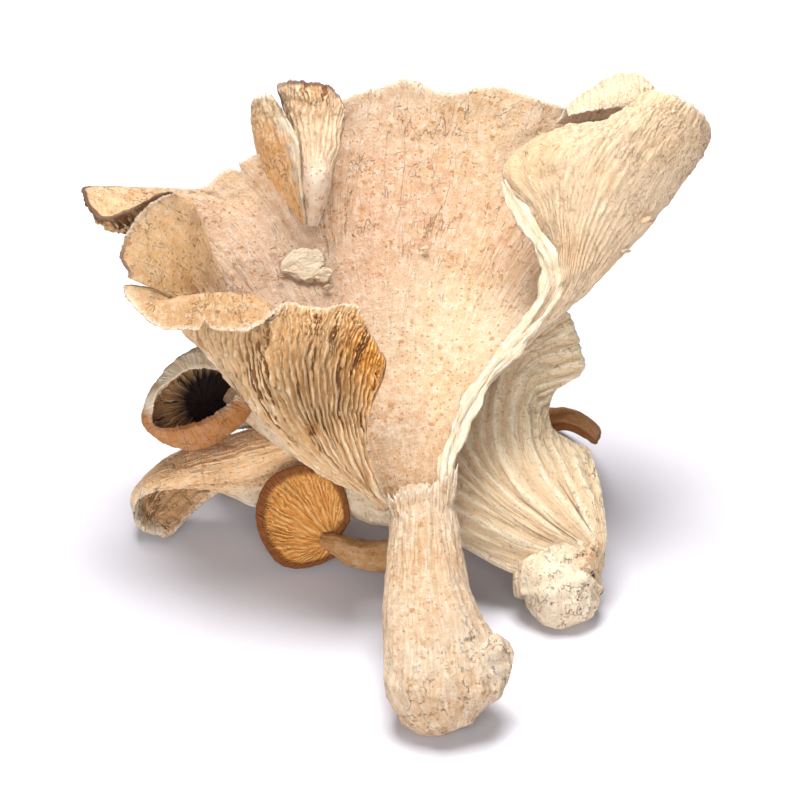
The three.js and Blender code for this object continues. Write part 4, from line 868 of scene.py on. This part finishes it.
def flesh_material(name, gill, gap, rust, rough, rim, rim_width):
    """Dried mushroom flesh: speckled and cracked skin, gills with a painted highlight on their crests and
    painted shade between them, torn white fibres, dirt, dark rims and the painted shade of deep hollows. Its
    vertices say where each one shows."""
    material = bpy.data.materials.new(name)
    material.use_nodes = True
    material.node_tree.nodes.clear()
    nodes = Nodes(material.node_tree)

    def carried(key, output=2):
        return nodes.make("ShaderNodeAttribute", {"attribute_name": key}, None, output)

    def at_most_one(value):
        return value.math("MINIMUM", 1.0)

    def line(noise, width):
        """1 on the thin wandering lines where the noise passes its middle."""
        return (noise - 0.5).math("ABSOLUTE").step(width, width * 0.2)

    flow = carried("flow", 1)
    tint = carried("tint", 1)
    place_m = nodes.make("ShaderNodeTexCoord", None, None, 3)
    spot = nodes.vector("SCALE", place_m, 1 / MM)
    along, edge, crest, gloom = (carried(key) for key in ("along", "edge", "crest", "gloom"))
    torn, amber, dark, furrow = (at_most_one(carried(key)) for key in ("torn", "amber", "dark", "furrow"))
    gilled = carried("gilled").step(0.05, 0.5)
    lumped = carried("lump").step(1.1, 1.7)

    # patterns, from coarse to fine
    mottle = nodes.noise(spot, 0.16, 4.0, 0.6)
    patch = nodes.noise(spot, 0.55, 6.0, 0.7)
    fine = nodes.noise(spot, 2.1, 5.0, 0.7)
    streak = nodes.grain(flow, 0.9, 0.12, 5.0, 0.65)
    thread = nodes.grain(flow, 3.2, 0.25, 4.0, 0.65)
    # painted shade in the bottoms of the fibre furrows that the relief cuts
    groove_shade = (nodes.grain(flow, *FIBRE) - 0.5).math("ABSOLUTE").step(0.075, 0.0) * furrow
    vein = line(nodes.grain(flow, 0.13, 0.032, 4.0, 0.5, 0.6), 0.0045)
    vein = vein * mottle.step(0.42, 0.55) * along.step(0.4, 0.7)
    crossing = line(nodes.noise(spot, 0.09, 5.0, 0.55, 0.7), 0.0035)
    crossing = crossing * mottle.step(0.46, 0.56) * along.step(0.45, 0.75)
    vein = vein.math("MAXIMUM", crossing)
    wrinkle = line(nodes.grain(flow, 0.30, 0.06, 3.0, 0.5, 0.3), 0.008)
    wrinkle = wrinkle * patch.step(0.45, 0.6) * along.step(0.3, 0.5)
    crack = nodes.make("ShaderNodeTexVoronoi", {"feature": "DISTANCE_TO_EDGE"},
                       {"Vector": nodes.strayed(spot, 0.35, 4.0, 0.6, 5.0), "Scale": 0.24})
    crack = crack.step(0.03, 0.0) * lumped * patch.step(0.42, 0.56) * mottle.step(0.40, 0.5)
    specks = nodes.spots(spot, 0.5, 0.4, 0.30).math("MAXIMUM", nodes.spots(spot, 1.2, 0.45, 0.34))
    specks = specks * mottle.step(0.32, 0.52) * (1 - torn)

    # the skin; dark flesh takes less of the pale mottling
    light = nodes.mix(nodes.part(tint, 1).step(0.05, 0.45) * 0.42 + 0.08, tint, BLEACHED)
    deep = nodes.mix(0.6, tint, SHADED)
    skin = nodes.mix(mottle.step(0.38, 0.7) * 0.35, tint, rust)
    for share, colour in (
        (patch.step(0.45, 0.62) * 0.6, light),
        (patch.step(0.47, 0.33) * 0.35, deep),
        (streak.step(0.52, 0.32) * (furrow * 0.45 + 0.12), deep),
        # pale streaks along furrowed fibres: partly their own pale tone, partly painted highlight
        (streak.step(0.52, 0.66) * furrow * 0.55, light),
        (fine.step(0.5, 0.72) * 0.5, light),
        (fine.step(0.44, 0.28) * 0.35, deep),
        (specks * 0.8, nodes.mix(0.8, tint, SPECK)),
        # the furrow bottoms darkened: painted shade
        (groove_shade * 0.65, nodes.mix(0.7, tint, GROOVE_SHADE)),
        (crack * 0.6, CRACK),
        (wrinkle * 0.4, WRINKLE),
        (vein * 0.5, VEIN),
    ):
        skin = nodes.mix(share, skin, colour)

    # the gills, with a painted highlight on their crests and painted shade between them
    ridge = nodes.mix(0.5, gill, tint)
    for share, colour in (
        (thread.step(0.45, 0.75) * 0.4, DRY_CREST),
        # painted highlight along the top of each crest
        (crest.step(0.86, 1.0) * 0.5, CREST_HIGHLIGHT),
        (fine.step(0.5, 0.3) * 0.35, WORN_CREST),
        (amber, nodes.mix(thread.step(0.4, 0.7), *AMBER_CREST)),
    ):
        ridge = nodes.mix(share, ridge, colour)
    # painted shade: the valleys between the crests darken, more where more shade is painted
    valley = nodes.mix(at_most_one(gloom * 0.8 + 0.12), ridge, rust)
    valley = nodes.mix(amber, valley, AMBER_GAP)
    lamella = nodes.mix(crest.step(0.2, 0.9), valley, ridge)
    lamella = nodes.mix(specks * 0.3, lamella, GILL_SPECK)
    # painted shade: the narrow gaps between the gills go near-black
    slit_shade = (crest - (nodes.grain(flow, 0.26, 0.04, 2.0, 0.5) - 0.525) * 4).step(0.22, 0.02)
    lamella = nodes.mix(at_most_one(slit_shade * gloom) * 0.92, lamella, gap)

    # rims, torn flesh and dirt over both, and the near-black painted shade of deep hollows
    pit_shade = at_most_one(gloom - 1).math("MAXIMUM", 0.0)
    pale_rim = edge.step(1.3, 0.2) * (1 - dark) * fine.step(0.35, 0.6)
    colour = nodes.mix(gilled, skin, lamella)
    for share, over in (
        (amber * (1 - gilled) * 0.7, AMBER_SKIN),
        (pit_shade, PIT_SHADE),
        (pale_rim * 0.6, PALE_RIM),
        (dark * edge.step(rim_width, rim_width * 0.4) * 0.9, rim),
        (torn, nodes.mix(thread.step(0.35, 0.7), *TORN_FIBRES)),
        (at_most_one(carried("dirt") * nodes.noise(spot, 0.5, 4.0, 0.7).step(0.55, 0.68)), GRIME),
    ):
        colour = nodes.mix(share, colour, over)

    height = (fine * 0.3 + patch * 0.5 + streak * 0.15
              + thread * 0.3 * (furrow - 0.35).math("MAXIMUM", 0.0)
              - vein * 0.2 - wrinkle * 0.15 - crack * 0.4 + specks * 0.1 + torn * thread * 0.5)
    bump = nodes.make("ShaderNodeBump", None, {"Strength": 1.0, "Distance": 1.4 * MM, "Height": height})
    shader = nodes.make("ShaderNodeBsdfPrincipled", None, {
        "Base Color": colour,
        "Roughness": fine * 0.2 + (rough - 0.1),
        "Normal": bump,
        "Specular IOR Level": 0.28,
    })
    nodes.make("ShaderNodeOutputMaterial", None, {"Surface": shader})
    return material


# Tints of the skins and of the spots on them.
TAN = (0.72, 0.49, 0.29)
PINK_TAN = (0.68, 0.48, 0.35)
ROSY = (0.60, 0.37, 0.235)
GOLDEN = (0.62, 0.35, 0.13)
# golden, brightened past the lobe's own colour to make up for the light that doesn't reach it: partly painted
# light
HONEY_AND_PAINTED_LIGHT = (1.0, 0.63, 0.28)
TOAST = (0.52, 0.30, 0.13)
CREAM = (0.79, 0.65, 0.45)
PALE = (0.87, 0.74, 0.55)
ROLL = (0.93, 0.77, 0.60)
# grey-brown for the hollow channel above the stem: painted shade
SPOUT_SHADE = (0.52, 0.37, 0.25)
FOLD = (0.72, 0.57, 0.38)
LIP = (0.50, 0.29, 0.13)
LAMELLA = (0.66, 0.38, 0.17)
STAIN = (0.78, 0.50, 0.28)
# near-black: the real black specks among the crumbs, and the painted shade in the mouth of the roll
BLACK_SPECKS_AND_SHADE = (0.02, 0.015, 0.015)
STEM = (0.66, 0.53, 0.39)
STEM_TAN = (0.60, 0.41, 0.24)
FLAP_ORANGE = (0.88, 0.47, 0.17)
FLAP_PINK = (0.88, 0.70, 0.54)
FLAP_TIP = (0.66, 0.48, 0.38)
FAN_TAN = (0.72, 0.47, 0.27)
AMBER = (0.45, 0.17, 0.04)
AMBER_STALK = (0.58, 0.33, 0.14)
RUSSET = (0.46, 0.18, 0.05)
# tan, brightened to the full to make up for the light the large cap keeps off the tongue: partly painted
# light
TONGUE_TAN_AND_PAINTED_LIGHT = (1.0, 0.64, 0.34)
CHESTNUT = (0.70, 0.30, 0.08)
# dark brown for the hollow of the tongue's folded tip: painted shade
BROWN = (0.26, 0.10, 0.035)
GREY_BROWN = (0.36, 0.25, 0.17)


class ClusterSettings(bpy.types.PropertyGroup):
    """Sizes and colours of the whole cluster."""

    gill_height: FloatProperty(
        name="Gill height", description="How far a gill stands out", default=0.0010, unit="LENGTH")
    gill_spacing: FloatProperty(
        name="Gill spacing", description="Millimetres from one gill to the next at the rim", default=1.7)
    gill_waver: FloatProperty(name="Gill waver", description="How far the gills wander", default=0.6)
    seed: IntProperty(name="Seed", description="Another seed gives other chips, furrows and lumps", default=3)
    gill_colour: FloatVectorProperty(
        name="Gills", description="Colour of the gills' crests", subtype="COLOR", default=(0.82, 0.57, 0.32))
    # the gaps between the gills are painted this dark: painted shade
    gap_shade_colour: FloatVectorProperty(
        name="Between gills", description="Colour between the gills", subtype="COLOR",
        default=(0.19, 0.070, 0.022))
    rust_colour: FloatVectorProperty(
        name="Rust", description="Warm stains in the skin", subtype="COLOR", default=(0.60, 0.33, 0.13))
    floor_colour: FloatVectorProperty(
        name="Floor", description="Colour of the studio floor", subtype="COLOR", default=(0.68, 0.665, 0.71))


DEEP_GILLS = 1.4 * MM  # how far the gills of the two big mushrooms stand out
BOX_MARGIN = 0.05 * MM  # how far the skins stay inside the solids' box


class Piece:
    """What every operator that builds a fruit body does with its flesh."""

    bl_options = {"REGISTER", "UNDO"}
    node = ""
    slot = ""

    def finish(self, context, flesh, name, height=None, spacing=None, gill=None, gap=None, rough=0.84,
               rim=(0.10, 0.035, 0.02), rim_width=1.3):
        """Raises the relief on the flesh, makes the piece, keeps it inside the solids' box, attaches it to
        the root body and hides the solid it stands for. What isn't given comes from the settings.
        """
        settings = context.scene.oyster_cluster
        key = "Flesh of the " + self.slot
        material = bpy.data.materials.get(key) or flesh_material(
            key, gill or tuple(settings.gill_colour), gap or tuple(settings.gap_shade_colour),
            tuple(settings.rust_colour), rough, rim, rim_width)
        piece = bpy.data.objects.new(name, flesh.mesh(name))
        context.scene.collection.objects.link(piece)
        tree = bpy.data.node_groups.get("Gills and furrows") or relief_tree()
        modifier = piece.modifiers.new("Relief", "NODES")
        modifier.node_group = tree
        given = {
            "Gill Height": height or settings.gill_height,
            "Gill Spacing": spacing or settings.gill_spacing,
            "Gill Waver": settings.gill_waver,
            "Seed": float(settings.seed),
            "Material": material,
        }
        for item in tree.interface.items_tree:
            if item.in_out == "INPUT" and item.name in given:
                modifier[item.identifier] = given[item.name]
        graph = context.evaluated_depsgraph_get()
        plain = bpy.data.meshes.new_from_object(
            piece.evaluated_get(graph), preserve_all_data_layers=True, depsgraph=graph)
        piece.modifiers.remove(modifier)
        piece.data = plain
        plain.name = name
        # what lies on the floor is flattened against it, and nothing leaves the solids' own box
        corners = np.empty((len(plain.vertices), 3))
        plain.vertices.foreach_get("co", corners.ravel())
        low, high = np.array(CAD_BOX)
        corners = np.clip(corners, low + (BOX_MARGIN, BOX_MARGIN, 0), high - BOX_MARGIN)
        plain.vertices.foreach_set("co", corners.ravel())
        plain.polygons.foreach_set("use_smooth", [True] * len(plain.polygons))
        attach(piece, "root")
        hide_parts(self.node)
        return {"FINISHED"}


# Columns in each gap between the large cap's spokes: more where gills face the front.
LARGE_COLUMNS = [34] * 4 + [14] * 5 + [16] * 7 + [14] * 4 + [12] * 13 + [22] * 6
# Spots of each tint and mark: [x, u, d, radius, strength].
LARGE_PAINT = {
    "tint": [
        (PINK_TAN, [[-30, 20, 34, 30, 1], [-10, 50, 42, 22, 0.6]]),
        (ROSY, [[0, 34, 41, 20, 0.9], [28, 36, 40, 14, 0.8]]),
        # the left lobe golden and brightened: partly its own colour, partly painted light
        (HONEY_AND_PAINTED_LIGHT, [[-48, 32, 22, 15, 0.9], [-44, 24, 22, 9, 0.9]]),
        (TOAST, [[-28, 16, 6, 9, 0.9], [-38, 16, 8, 9, 0.9], [-47, 16, 11, 6, 0.8]]),
        (LAMELLA, [[-14, 4, 9, 20, 1.0], [-2, -12, 13, 12, 0.8]]),
        (FOLD, [[10, 14, 35, 14, 0.8]]),
        (LIP, [[-38, 16, 7, 10, 0.9], [-28, 16, 5, 8, 0.9], [-47, 16, 8.5, 7, 0.8]]),
        # the hollow channel above the stem darkened: painted shade
        (SPOUT_SHADE, [[0, -7, 26, 9, 0.9]]),
        (ROLL, [[46, 44, 24, 26, 1], [30, 22, 23, 16, 1]]),
        (STAIN, [[26, 50, 22, 7, 0.8], [40, 44, 20, 4, 0.5], [34, 30, 22, 4, 0.6], [52, 50, 20, 5, 0.5]]),
        # the dark mouth of the roll under its lip: painted shade
        (BLACK_SPECKS_AND_SHADE, [[41, 55.6, 36, 8, 1.1]]),
    ],
    "amber": [[-6, 9, 9.5, 7, 1.0], [-6, 2, 10, 5, 0.7]],
    # painted shade among the gills of the front lobe, near its root and under the left lobe and horn; over 1
    # near-black
    "gloom": [[-16, 4, 9, 20, 1.25], [-2, -14, 13, 10, 0.8], [-50, 30, 20, 24, 1.2]],
    "furrow": [[26, 26, 36, 16, 1.0], [-14, 42, 42, 10, 0.8], [-34, 24, 34, 14, 0.7], [40, 52, 32, 18, 0.7]],
    "lump": [[27, 50, 21, 9, 1.6], [36, 46, 20, 14, 0.9], [44, 48, 22, 20, 0.7]],
    "dark": [[-60, 38, 24, 14, 1.0], [-48, 38, 18, 10, 0.8], [-55, 28, 14, 6, 0.8], [-3, 6, 10, 8, 0.6]],
}
# Loose flakes and crumbs on the cap: (x, u, size, thickness as a share of it, tint).
LARGE_CRUMBS = (
    (-19.6, 27, 9, 0.045, PALE), (-17.4, 28.6, 4, 0.08, CREAM), (-15.6, 25, 4.4, 0.12, CREAM),
    (-14.6, 22.6, 2.2, 0.2, TAN), (-18, 24.4, 1.5, 0.3, CREAM), (5, 30.4, 2.2, 0.25, CREAM),
    (-24, 24.6, 1.2, 0.3, GOLDEN), (-25.6, 30.6, 1.2, 0.3, GOLDEN), (-0.2, 59.4, 0.7, 0.4, BLACK_SPECKS_AND_SHADE),
    (1.2, 58.8, 0.7, 0.4, BLACK_SPECKS_AND_SHADE), (0.4, 39, 1, 0.3, PALE), (-8, 14.8, 0.9, 0.3, PALE), (-24, 29, 1, 0.3, TAN),
    (49.4, 35.6, 3, 0.4, STAIN), (45, 29.6, 2, 0.3, CREAM),
)
# A crumb's outline, from end to end, as shares of its size: (to the right, up, half width).
CRUMB = ((-0.5, -0.12, 0.06), (-0.3, -0.02, 0.26), (0, 0.05, 0.4), (0.3, 0.12, 0.28), (0.5, 0.1, 0.05))


def crumb(flesh, net, x, u, size, flat, tint):
    """Lays a flake of flesh on the front of a net."""
    d = resting(net, x, u) - 1 - size * flat * 0.3
    slope = min(1, max(-1, (resting(net, x + 2, u) - resting(net, x - 2, u)) / 4))
    sections = [
        [x + size * right, u + size * up, d + slope * size * right, size * wide, size * min(wide, flat)]
        for right, up, wide in CRUMB
    ]
    loft(flesh, sections, rings=20, sides=24, uneven=0.3, lump=0.15, furrow=0.8, torn=0.35,
         paint={"tint": [(tint, [[x, u, d, size * 2, 1]])]})


class OYSTER_OT_large_cap(Piece, bpy.types.Operator):
    """Builds the large cap, with its gilled lobe, lip, horn, pleat and roll"""

    bl_idname = "oyster.large_cap"
    bl_label = "Large cap"
    node = "large_mushroom"
    slot = "large_flesh"

    def execute(self, context):
        flesh = Flesh(TAN)
        # a little painted shade between the gills all over the cap
        sheet(flesh, LARGE_CAP, FLESH["large"], LARGE_COLUMNS, 62, ragged=0.7,
              tears=[[10.5, 7, 0.25], [7, 2, 0.12], [23.2, 2.5, 0.2]], seed=4, paint=LARGE_PAINT, gloom=0.15,
              furrow=0.2, lump=0.6)
        for x, u, size, flat, tint in LARGE_CRUMBS:
            crumb(flesh, LARGE_CAP, x, u, size, flat, tint)
        return self.finish(context, flesh, "large_cap", height=DEEP_GILLS)


class OYSTER_OT_large_stem(Piece, bpy.types.Operator):
    """Builds the stem under the large cap, and the torn pleat in the cap's back rim"""

    bl_idname = "oyster.large_stem"
    bl_label = "Large stem and pleat"
    node = "large_mushroom"
    slot = "large_flesh"

    def execute(self, context):
        flesh = Flesh(STEM)
        loft(flesh, LARGE_STEM, rings=180, sides=150, furrow=0.6, lump=0.4, broken=STEM_BREAK, paint={
            "dirt": [[7, -52, -8, 4, 1.0], [19, -50, -3, 9, 1.2]],
            "tint": [(STEM_TAN, [[-1, -34, 2, 16, 0.6], [6, -62, -6, 13, 0.5]])],
            "furrow": [[4, -30, 8, 17, 1.0]],
            "lump": [[9, -61, -1, 17, 2.2], [20, -50, 0, 8, 2.2]],
        })
        loft(flesh, FOOT_SHELF, rings=70, sides=90, uneven=0.12, lump=2.2, broken=STEM_BREAK, paint={
            "dirt": [[20, -49, -4, 7, 1.3], [14, -47, -4, 4, 0.9]],
        })
        sheet(flesh, COLLAR, FLESH["collar"], 20, 30, ragged=3.2, seed=9, furrow=0.9, lump=0.6, paint={
            "torn": [[-2, -17.6, 14, 2, 0.9], [2, -16.4, 12.6, 2.2, 1], [6, -15.2, 12.8, 2.2, 1],
                     [10, -12.6, 14.8, 2.8, 1]],
            "tint": [(STEM_TAN, [[0, -22, 10, 6, 0.6]])],
        })
        loft(flesh, ROLL_TEAR, rings=220, sides=32, uneven=0.4, torn=1, lump=1.3, furrow=1.0)
        sheet(flesh, LEFT_FLAP, FLESH["flap"], 22, 44, ragged=1.1, seed=5, furrow=0.3, lump=1.5, paint={
            "tint": [(FLAP_ORANGE, [[-25, 46, 38, 18, 0.9]]), (CREAM, [[-25, 61, 33, 5, 0.8]])],
            "torn": [[-20, 50, 31.4, 3, 1.2], [-20.6, 45, 32.6, 2.4, 1.2], [-22, 56, 31.4, 3, 1.2],
                     [-20, 40, 35, 2.4, 1.0]],
        })
        sheet(flesh, RIGHT_FLAP, FLESH["flap"], 22, 44, side=1, seed=6, start=0.42, fall=0.25, furrow=0.05,
              lump=0.8, gloom=0.2, paint={
                  "tint": [(FLAP_PINK, [[-16, 44, 34, 16, 1]]), (FLAP_TIP, [[-18, 60, 36, 9, 0.9]])],
                  # more painted shade between the gills near the flap's top
                  "gloom": [[-18, 62, 34, 7, 0.9]],
                  "dark": [[-18, 62, 34, 10, 0.9]],
              })
        sheet(flesh, ROLL_LIP, FLESH["lip"], 18, 40, ragged=0.5, seed=8, furrow=0.5, lump=0.3, paint={
            "tint": [(ROLL, [[46, 58, 32, 24, 1]])],
        })
        return self.finish(context, flesh, "large_stem")


class OYSTER_OT_right(Piece, bpy.types.Operator):
    """Builds the mushroom on the right, its base bulb and the hub that joins the cluster"""

    bl_idname = "oyster.right"
    bl_label = "Right mushroom"
    node = "right_mushroom"
    slot = "right_flesh"

    def execute(self, context):
        flesh = Flesh(CREAM)
        # a little painted shade between the gills
        sheet(flesh, RIGHT_FAN, FLESH["right"], 34, 64, seed=11, furrow=0.35, lump=0.4, gloom=0.12, paint={
            "dirt": [[40, -22, 31, 6, 0.9], [39, -14, 34, 5, 0.7]],
            "tint": [(FAN_TAN, [[30, -24, 28, 12, 0.6], [10, -18, 30, 12, 0.7]])],
        })
        loft(flesh, RIGHT_BASE, rings=110, sides=120, furrow=0.3, lump=1.5, paint={
            "dirt": [[38, -35, 23, 8, 1.3], [35, -39, 21, 7, 1.3]],
            "tint": [(PALE, [[33, -41, 22, 13, 1]]), (FAN_TAN, [[40, -29, 27, 6, 0.8]])],
        })
        loft(flesh, HUB, rings=50, sides=48, furrow=0.4, lump=0.4)
        return self.finish(context, flesh, "right_mushroom_skin", spacing=6.5, height=DEEP_GILLS,
                           gill=(0.86, 0.68, 0.46))


# How far the middle of a small cap is pushed out of the plane of its rim.
AMBER_BULGE = [0, 0, 3.4]
BACK_BULGE = [0, 4.6, -3]


class OYSTER_OT_amber(Piece, bpy.types.Operator):
    """Builds the small amber cap that turns its gills to the front"""

    bl_idname = "oyster.amber"
    bl_label = "Amber mushroom"
    node = "amber_mushroom"
    slot = "amber_flesh"

    def execute(self, context):
        flesh = Flesh(AMBER)
        net = fan(AMBER_ROOT, AMBER_RIM, 5, AMBER_BULGE)
        # some painted shade between the amber gills
        sheet(flesh, net, FLESH["amber"], 28, 50, ragged=0.25, seed=21, fall=0.02, gill_fade=1.6, amber=0.85,
              gloom=0.25, furrow=0.15, dark=1)
        loft(flesh, AMBER_STEM, rings=50, sides=48, furrow=0.8, lump=0.5, amber=0.35,
             paint={"tint": [(AMBER_STALK, [[-6, -31, 36, 12, 1]])]})
        return self.finish(context, flesh, "amber_mushroom_skin", spacing=1.3, rough=0.55,
                           rim=(0.20, 0.055, 0.012), rim_width=2.6)


class OYSTER_OT_curled(Piece, bpy.types.Operator):
    """Builds the cap that is curled into a dark cup"""

    bl_idname = "oyster.curled"
    bl_label = "Curled mushroom"
    node = "curled_mushroom"
    slot = "curled_flesh"

    def execute(self, context):
        flesh = Flesh(RUSSET)
        # the cup's gills get the full painted shade between them
        sheet(flesh, CURLED, FLESH["curled"], 30, 50, side=1, closed=True, ragged=0.6, seed=31, fall=0.25,
              gloom=1, furrow=0.35, lump=0.4, paint={
                  "torn": [[-47, 5, 37.6, 3, 1.3], [-42, 8, 37.6, 3.4, 1.3], [-37, 8.4, 38, 3.4, 1.3],
                           [-32.6, 6, 39, 3.4, 1.3], [-50, 0, 38, 2.6, 1.2], [-30.6, 2, 39.6, 2.6, 1.0]],
                  "tint": [(TAN, [[-40, 11, 42, 9, 0.9]])],
                  "dark": [[-42, -8, 38, 9, 1]],
                  # the middle of the cup painted near-black: painted shade in its hollow
                  "gloom": [[-38, 0, 48, 10.5, 2.5]],
              })
        loft(flesh, CURLED_STEM, rings=40, sides=48, furrow=0.4, lump=0.3,
             paint={"tint": [(CREAM, [[-22, -6, 40, 16, 0.9]])]})
        # the gills and the gaps between them are darkened inside the cup: partly their own brown, partly
        # painted shade
        return self.finish(context, flesh, "curled_mushroom_skin", spacing=1.5, rim=(0.22, 0.08, 0.025),
                           gill=(0.42, 0.24, 0.14), gap=(0.04, 0.015, 0.01))


class OYSTER_OT_tongue(Piece, bpy.types.Operator):
    """Builds the long cap whose tip is folded down"""

    bl_idname = "oyster.tongue"
    bl_label = "Tongue mushroom"
    node = "tongue_mushroom"
    slot = "tongue_flesh"

    def execute(self, context):
        # the tongue's tint is partly its own tan, partly painted light
        flesh = Flesh(TONGUE_TAN_AND_PAINTED_LIGHT)
        # painted shade between the tongue's gills
        sheet(flesh, TONGUE, FLESH["tongue"], 32, 76, side=1, seed=41, fall=0.3, gloom=0.7, furrow=0.35,
              lump=0.6, paint={
                  # the hollow of the folded tip painted dark brown: painted shade
                  "tint": [(PALE, [[-30, -20.5, 51.5, 5, 1]]), (BROWN, [[-45, -23, 54, 8, 0.9]])],
                  "torn": [[-53.6, -23, 50, 3.4, 1.1], [-51, -27, 51, 3, 1.1], [-52, -19.6, 47, 1.6, 0.9]],
              })
        loft(flesh, TONGUE_STEM, rings=30, sides=40, furrow=0.3, lump=0.3)
        return self.finish(context, flesh, "tongue_mushroom_skin", spacing=1.6, gill=(0.70, 0.42, 0.24))


class OYSTER_OT_brown(Piece, bpy.types.Operator):
    """Builds the ribbed brown cap that lies behind on the right"""

    bl_idname = "oyster.brown"
    bl_label = "Brown mushroom"
    node = "brown_mushroom"
    slot = "brown_flesh"

    def execute(self, context):
        flesh = Flesh(CHESTNUT)
        net = fan(BROWN_ROOT, BROWN_RIM, 5, BACK_BULGE)
        sheet(flesh, net, FLESH["brown"], 26, 46, side=1, ragged=0.3, seed=51, furrow=0.4, lump=0.2, dark=1,
              amber=0.35)
        loft(flesh, BROWN_STEM, rings=30, sides=48, furrow=0.3, lump=0.3)
        return self.finish(context, flesh, "brown_mushroom_skin", spacing=1.6, rim=(0.30, 0.10, 0.03))


class OYSTER_OT_grey(Piece, bpy.types.Operator):
    """Builds the grey-brown cap that lies behind on the left"""

    bl_idname = "oyster.grey"
    bl_label = "Grey mushroom"
    node = "grey_mushroom"
    slot = "grey_flesh"

    def execute(self, context):
        flesh = Flesh(GREY_BROWN)
        net = fan(GREY_ROOT, GREY_RIM, 5, BACK_BULGE)
        sheet(flesh, net, FLESH["grey"], 30, 46, ragged=0.4, seed=61, furrow=0.5, lump=0.3)
        loft(flesh, GREY_STEM, rings=30, sides=48, furrow=0.3, lump=0.3)
        return self.finish(context, flesh, "grey_mushroom_skin", spacing=1.6)


FLOOR_HALF = 3.0
SKY = (0.93, 0.95, 1.0)
SKY_STRENGTH = 0.09
# Each lamp: (name, place, width, power).
LAMPS = (("key", (-0.02, 0.18, 0.84), 0.45, 12.6), ("fill", (-0.14, -1.12, 0.34), 1.2, 20.0))
LAMPS_AIM = (0, 0, 0.04)
CAMERA_DISTANCE = 1.5
VIEW_WIDTH = 0.160
VIEW_MIDDLE = [0, 0, 25]  # the net point in the middle of the view


class OYSTER_OT_stage(bpy.types.Operator):
    """Lays the pale studio floor and sets the lights and the camera"""

    bl_idname = "oyster.stage"
    bl_label = "Studio"

    def execute(self, context):
        scene = context.scene

        def placed(name, data, where, look):
            """Adds an object that looks along a direction."""
            item = bpy.data.objects.new(name, data)
            item.location = where
            item.rotation_euler = look.to_track_quat("-Z", "Y").to_euler()
            scene.collection.objects.link(item)
            return item

        mesh = bpy.data.meshes.new("floor")
        corners = [(FLOOR_HALF * x, FLOOR_HALF * y, 0) for x, y in ((-1, -1), (1, -1), (1, 1), (-1, 1))]
        mesh.from_pydata(corners, [], [(0, 1, 2, 3)])
        floor = bpy.data.objects.new("floor", mesh)
        scene.collection.objects.link(floor)
        material = bpy.data.materials.new("Floor")
        material.use_nodes = True
        shader = material.node_tree.nodes["Principled BSDF"]
        shader.inputs["Base Color"].default_value = (*scene.oyster_cluster.floor_colour, 1)
        shader.inputs["Roughness"].default_value = 0.9
        shader.inputs["Specular IOR Level"].default_value = 0.1
        mesh.materials.append(material)

        world = bpy.data.worlds.new("Studio")
        world.use_nodes = True
        sky = world.node_tree.nodes["Background"]
        sky.inputs["Color"].default_value = (*SKY, 1)
        sky.inputs["Strength"].default_value = SKY_STRENGTH
        scene.world = world
        for name, where, size, power in LAMPS:
            light = bpy.data.lights.new(name, "AREA")
            light.energy = power
            light.size = size
            placed(name, light, where, Vector(LAMPS_AIM) - Vector(where))

        camera = bpy.data.cameras.new("camera")
        camera.lens = camera.sensor_width * CAMERA_DISTANCE / VIEW_WIDTH
        camera.clip_end = 20
        look = Vector((0, math.cos(LEAN), -math.sin(LEAN)))
        middle = Vector(place(VIEW_MIDDLE) * MM)
        scene.camera = placed("camera", camera, middle - look * CAMERA_DISTANCE, look)
        scene.view_settings.view_transform = "Standard"
        return {"FINISHED"}


class OYSTER_PT_panel(bpy.types.Panel):
    """Lists the settings and the steps that build the cluster"""

    bl_idname = "OYSTER_PT_panel"
    bl_label = "Oyster mushrooms"
    bl_space_type = "VIEW_3D"
    bl_region_type = "UI"
    bl_category = "Mushrooms"

    def draw(self, context):
        settings = context.scene.oyster_cluster
        for key in ClusterSettings.__annotations__:
            self.layout.prop(settings, key)
        for step in STEPS:
            self.layout.operator(step.bl_idname)


STEPS = (
    OYSTER_OT_large_cap, OYSTER_OT_large_stem, OYSTER_OT_right, OYSTER_OT_amber, OYSTER_OT_curled,
    OYSTER_OT_tongue, OYSTER_OT_brown, OYSTER_OT_grey, OYSTER_OT_stage,
)
CLASSES = (ClusterSettings, *STEPS, OYSTER_PT_panel)


def register():
    for item in CLASSES:
        bpy.utils.register_class(item)
    bpy.types.Scene.oyster_cluster = PointerProperty(type=ClusterSettings)


def unregister():
    del bpy.types.Scene.oyster_cluster
    for item in reversed(CLASSES):
        bpy.utils.unregister_class(item)


def main():
    register()
    for step in STEPS:
        group, name = step.bl_idname.split(".")
        getattr(getattr(bpy.ops, group), name)()


if __name__ == "__main__":
    main()
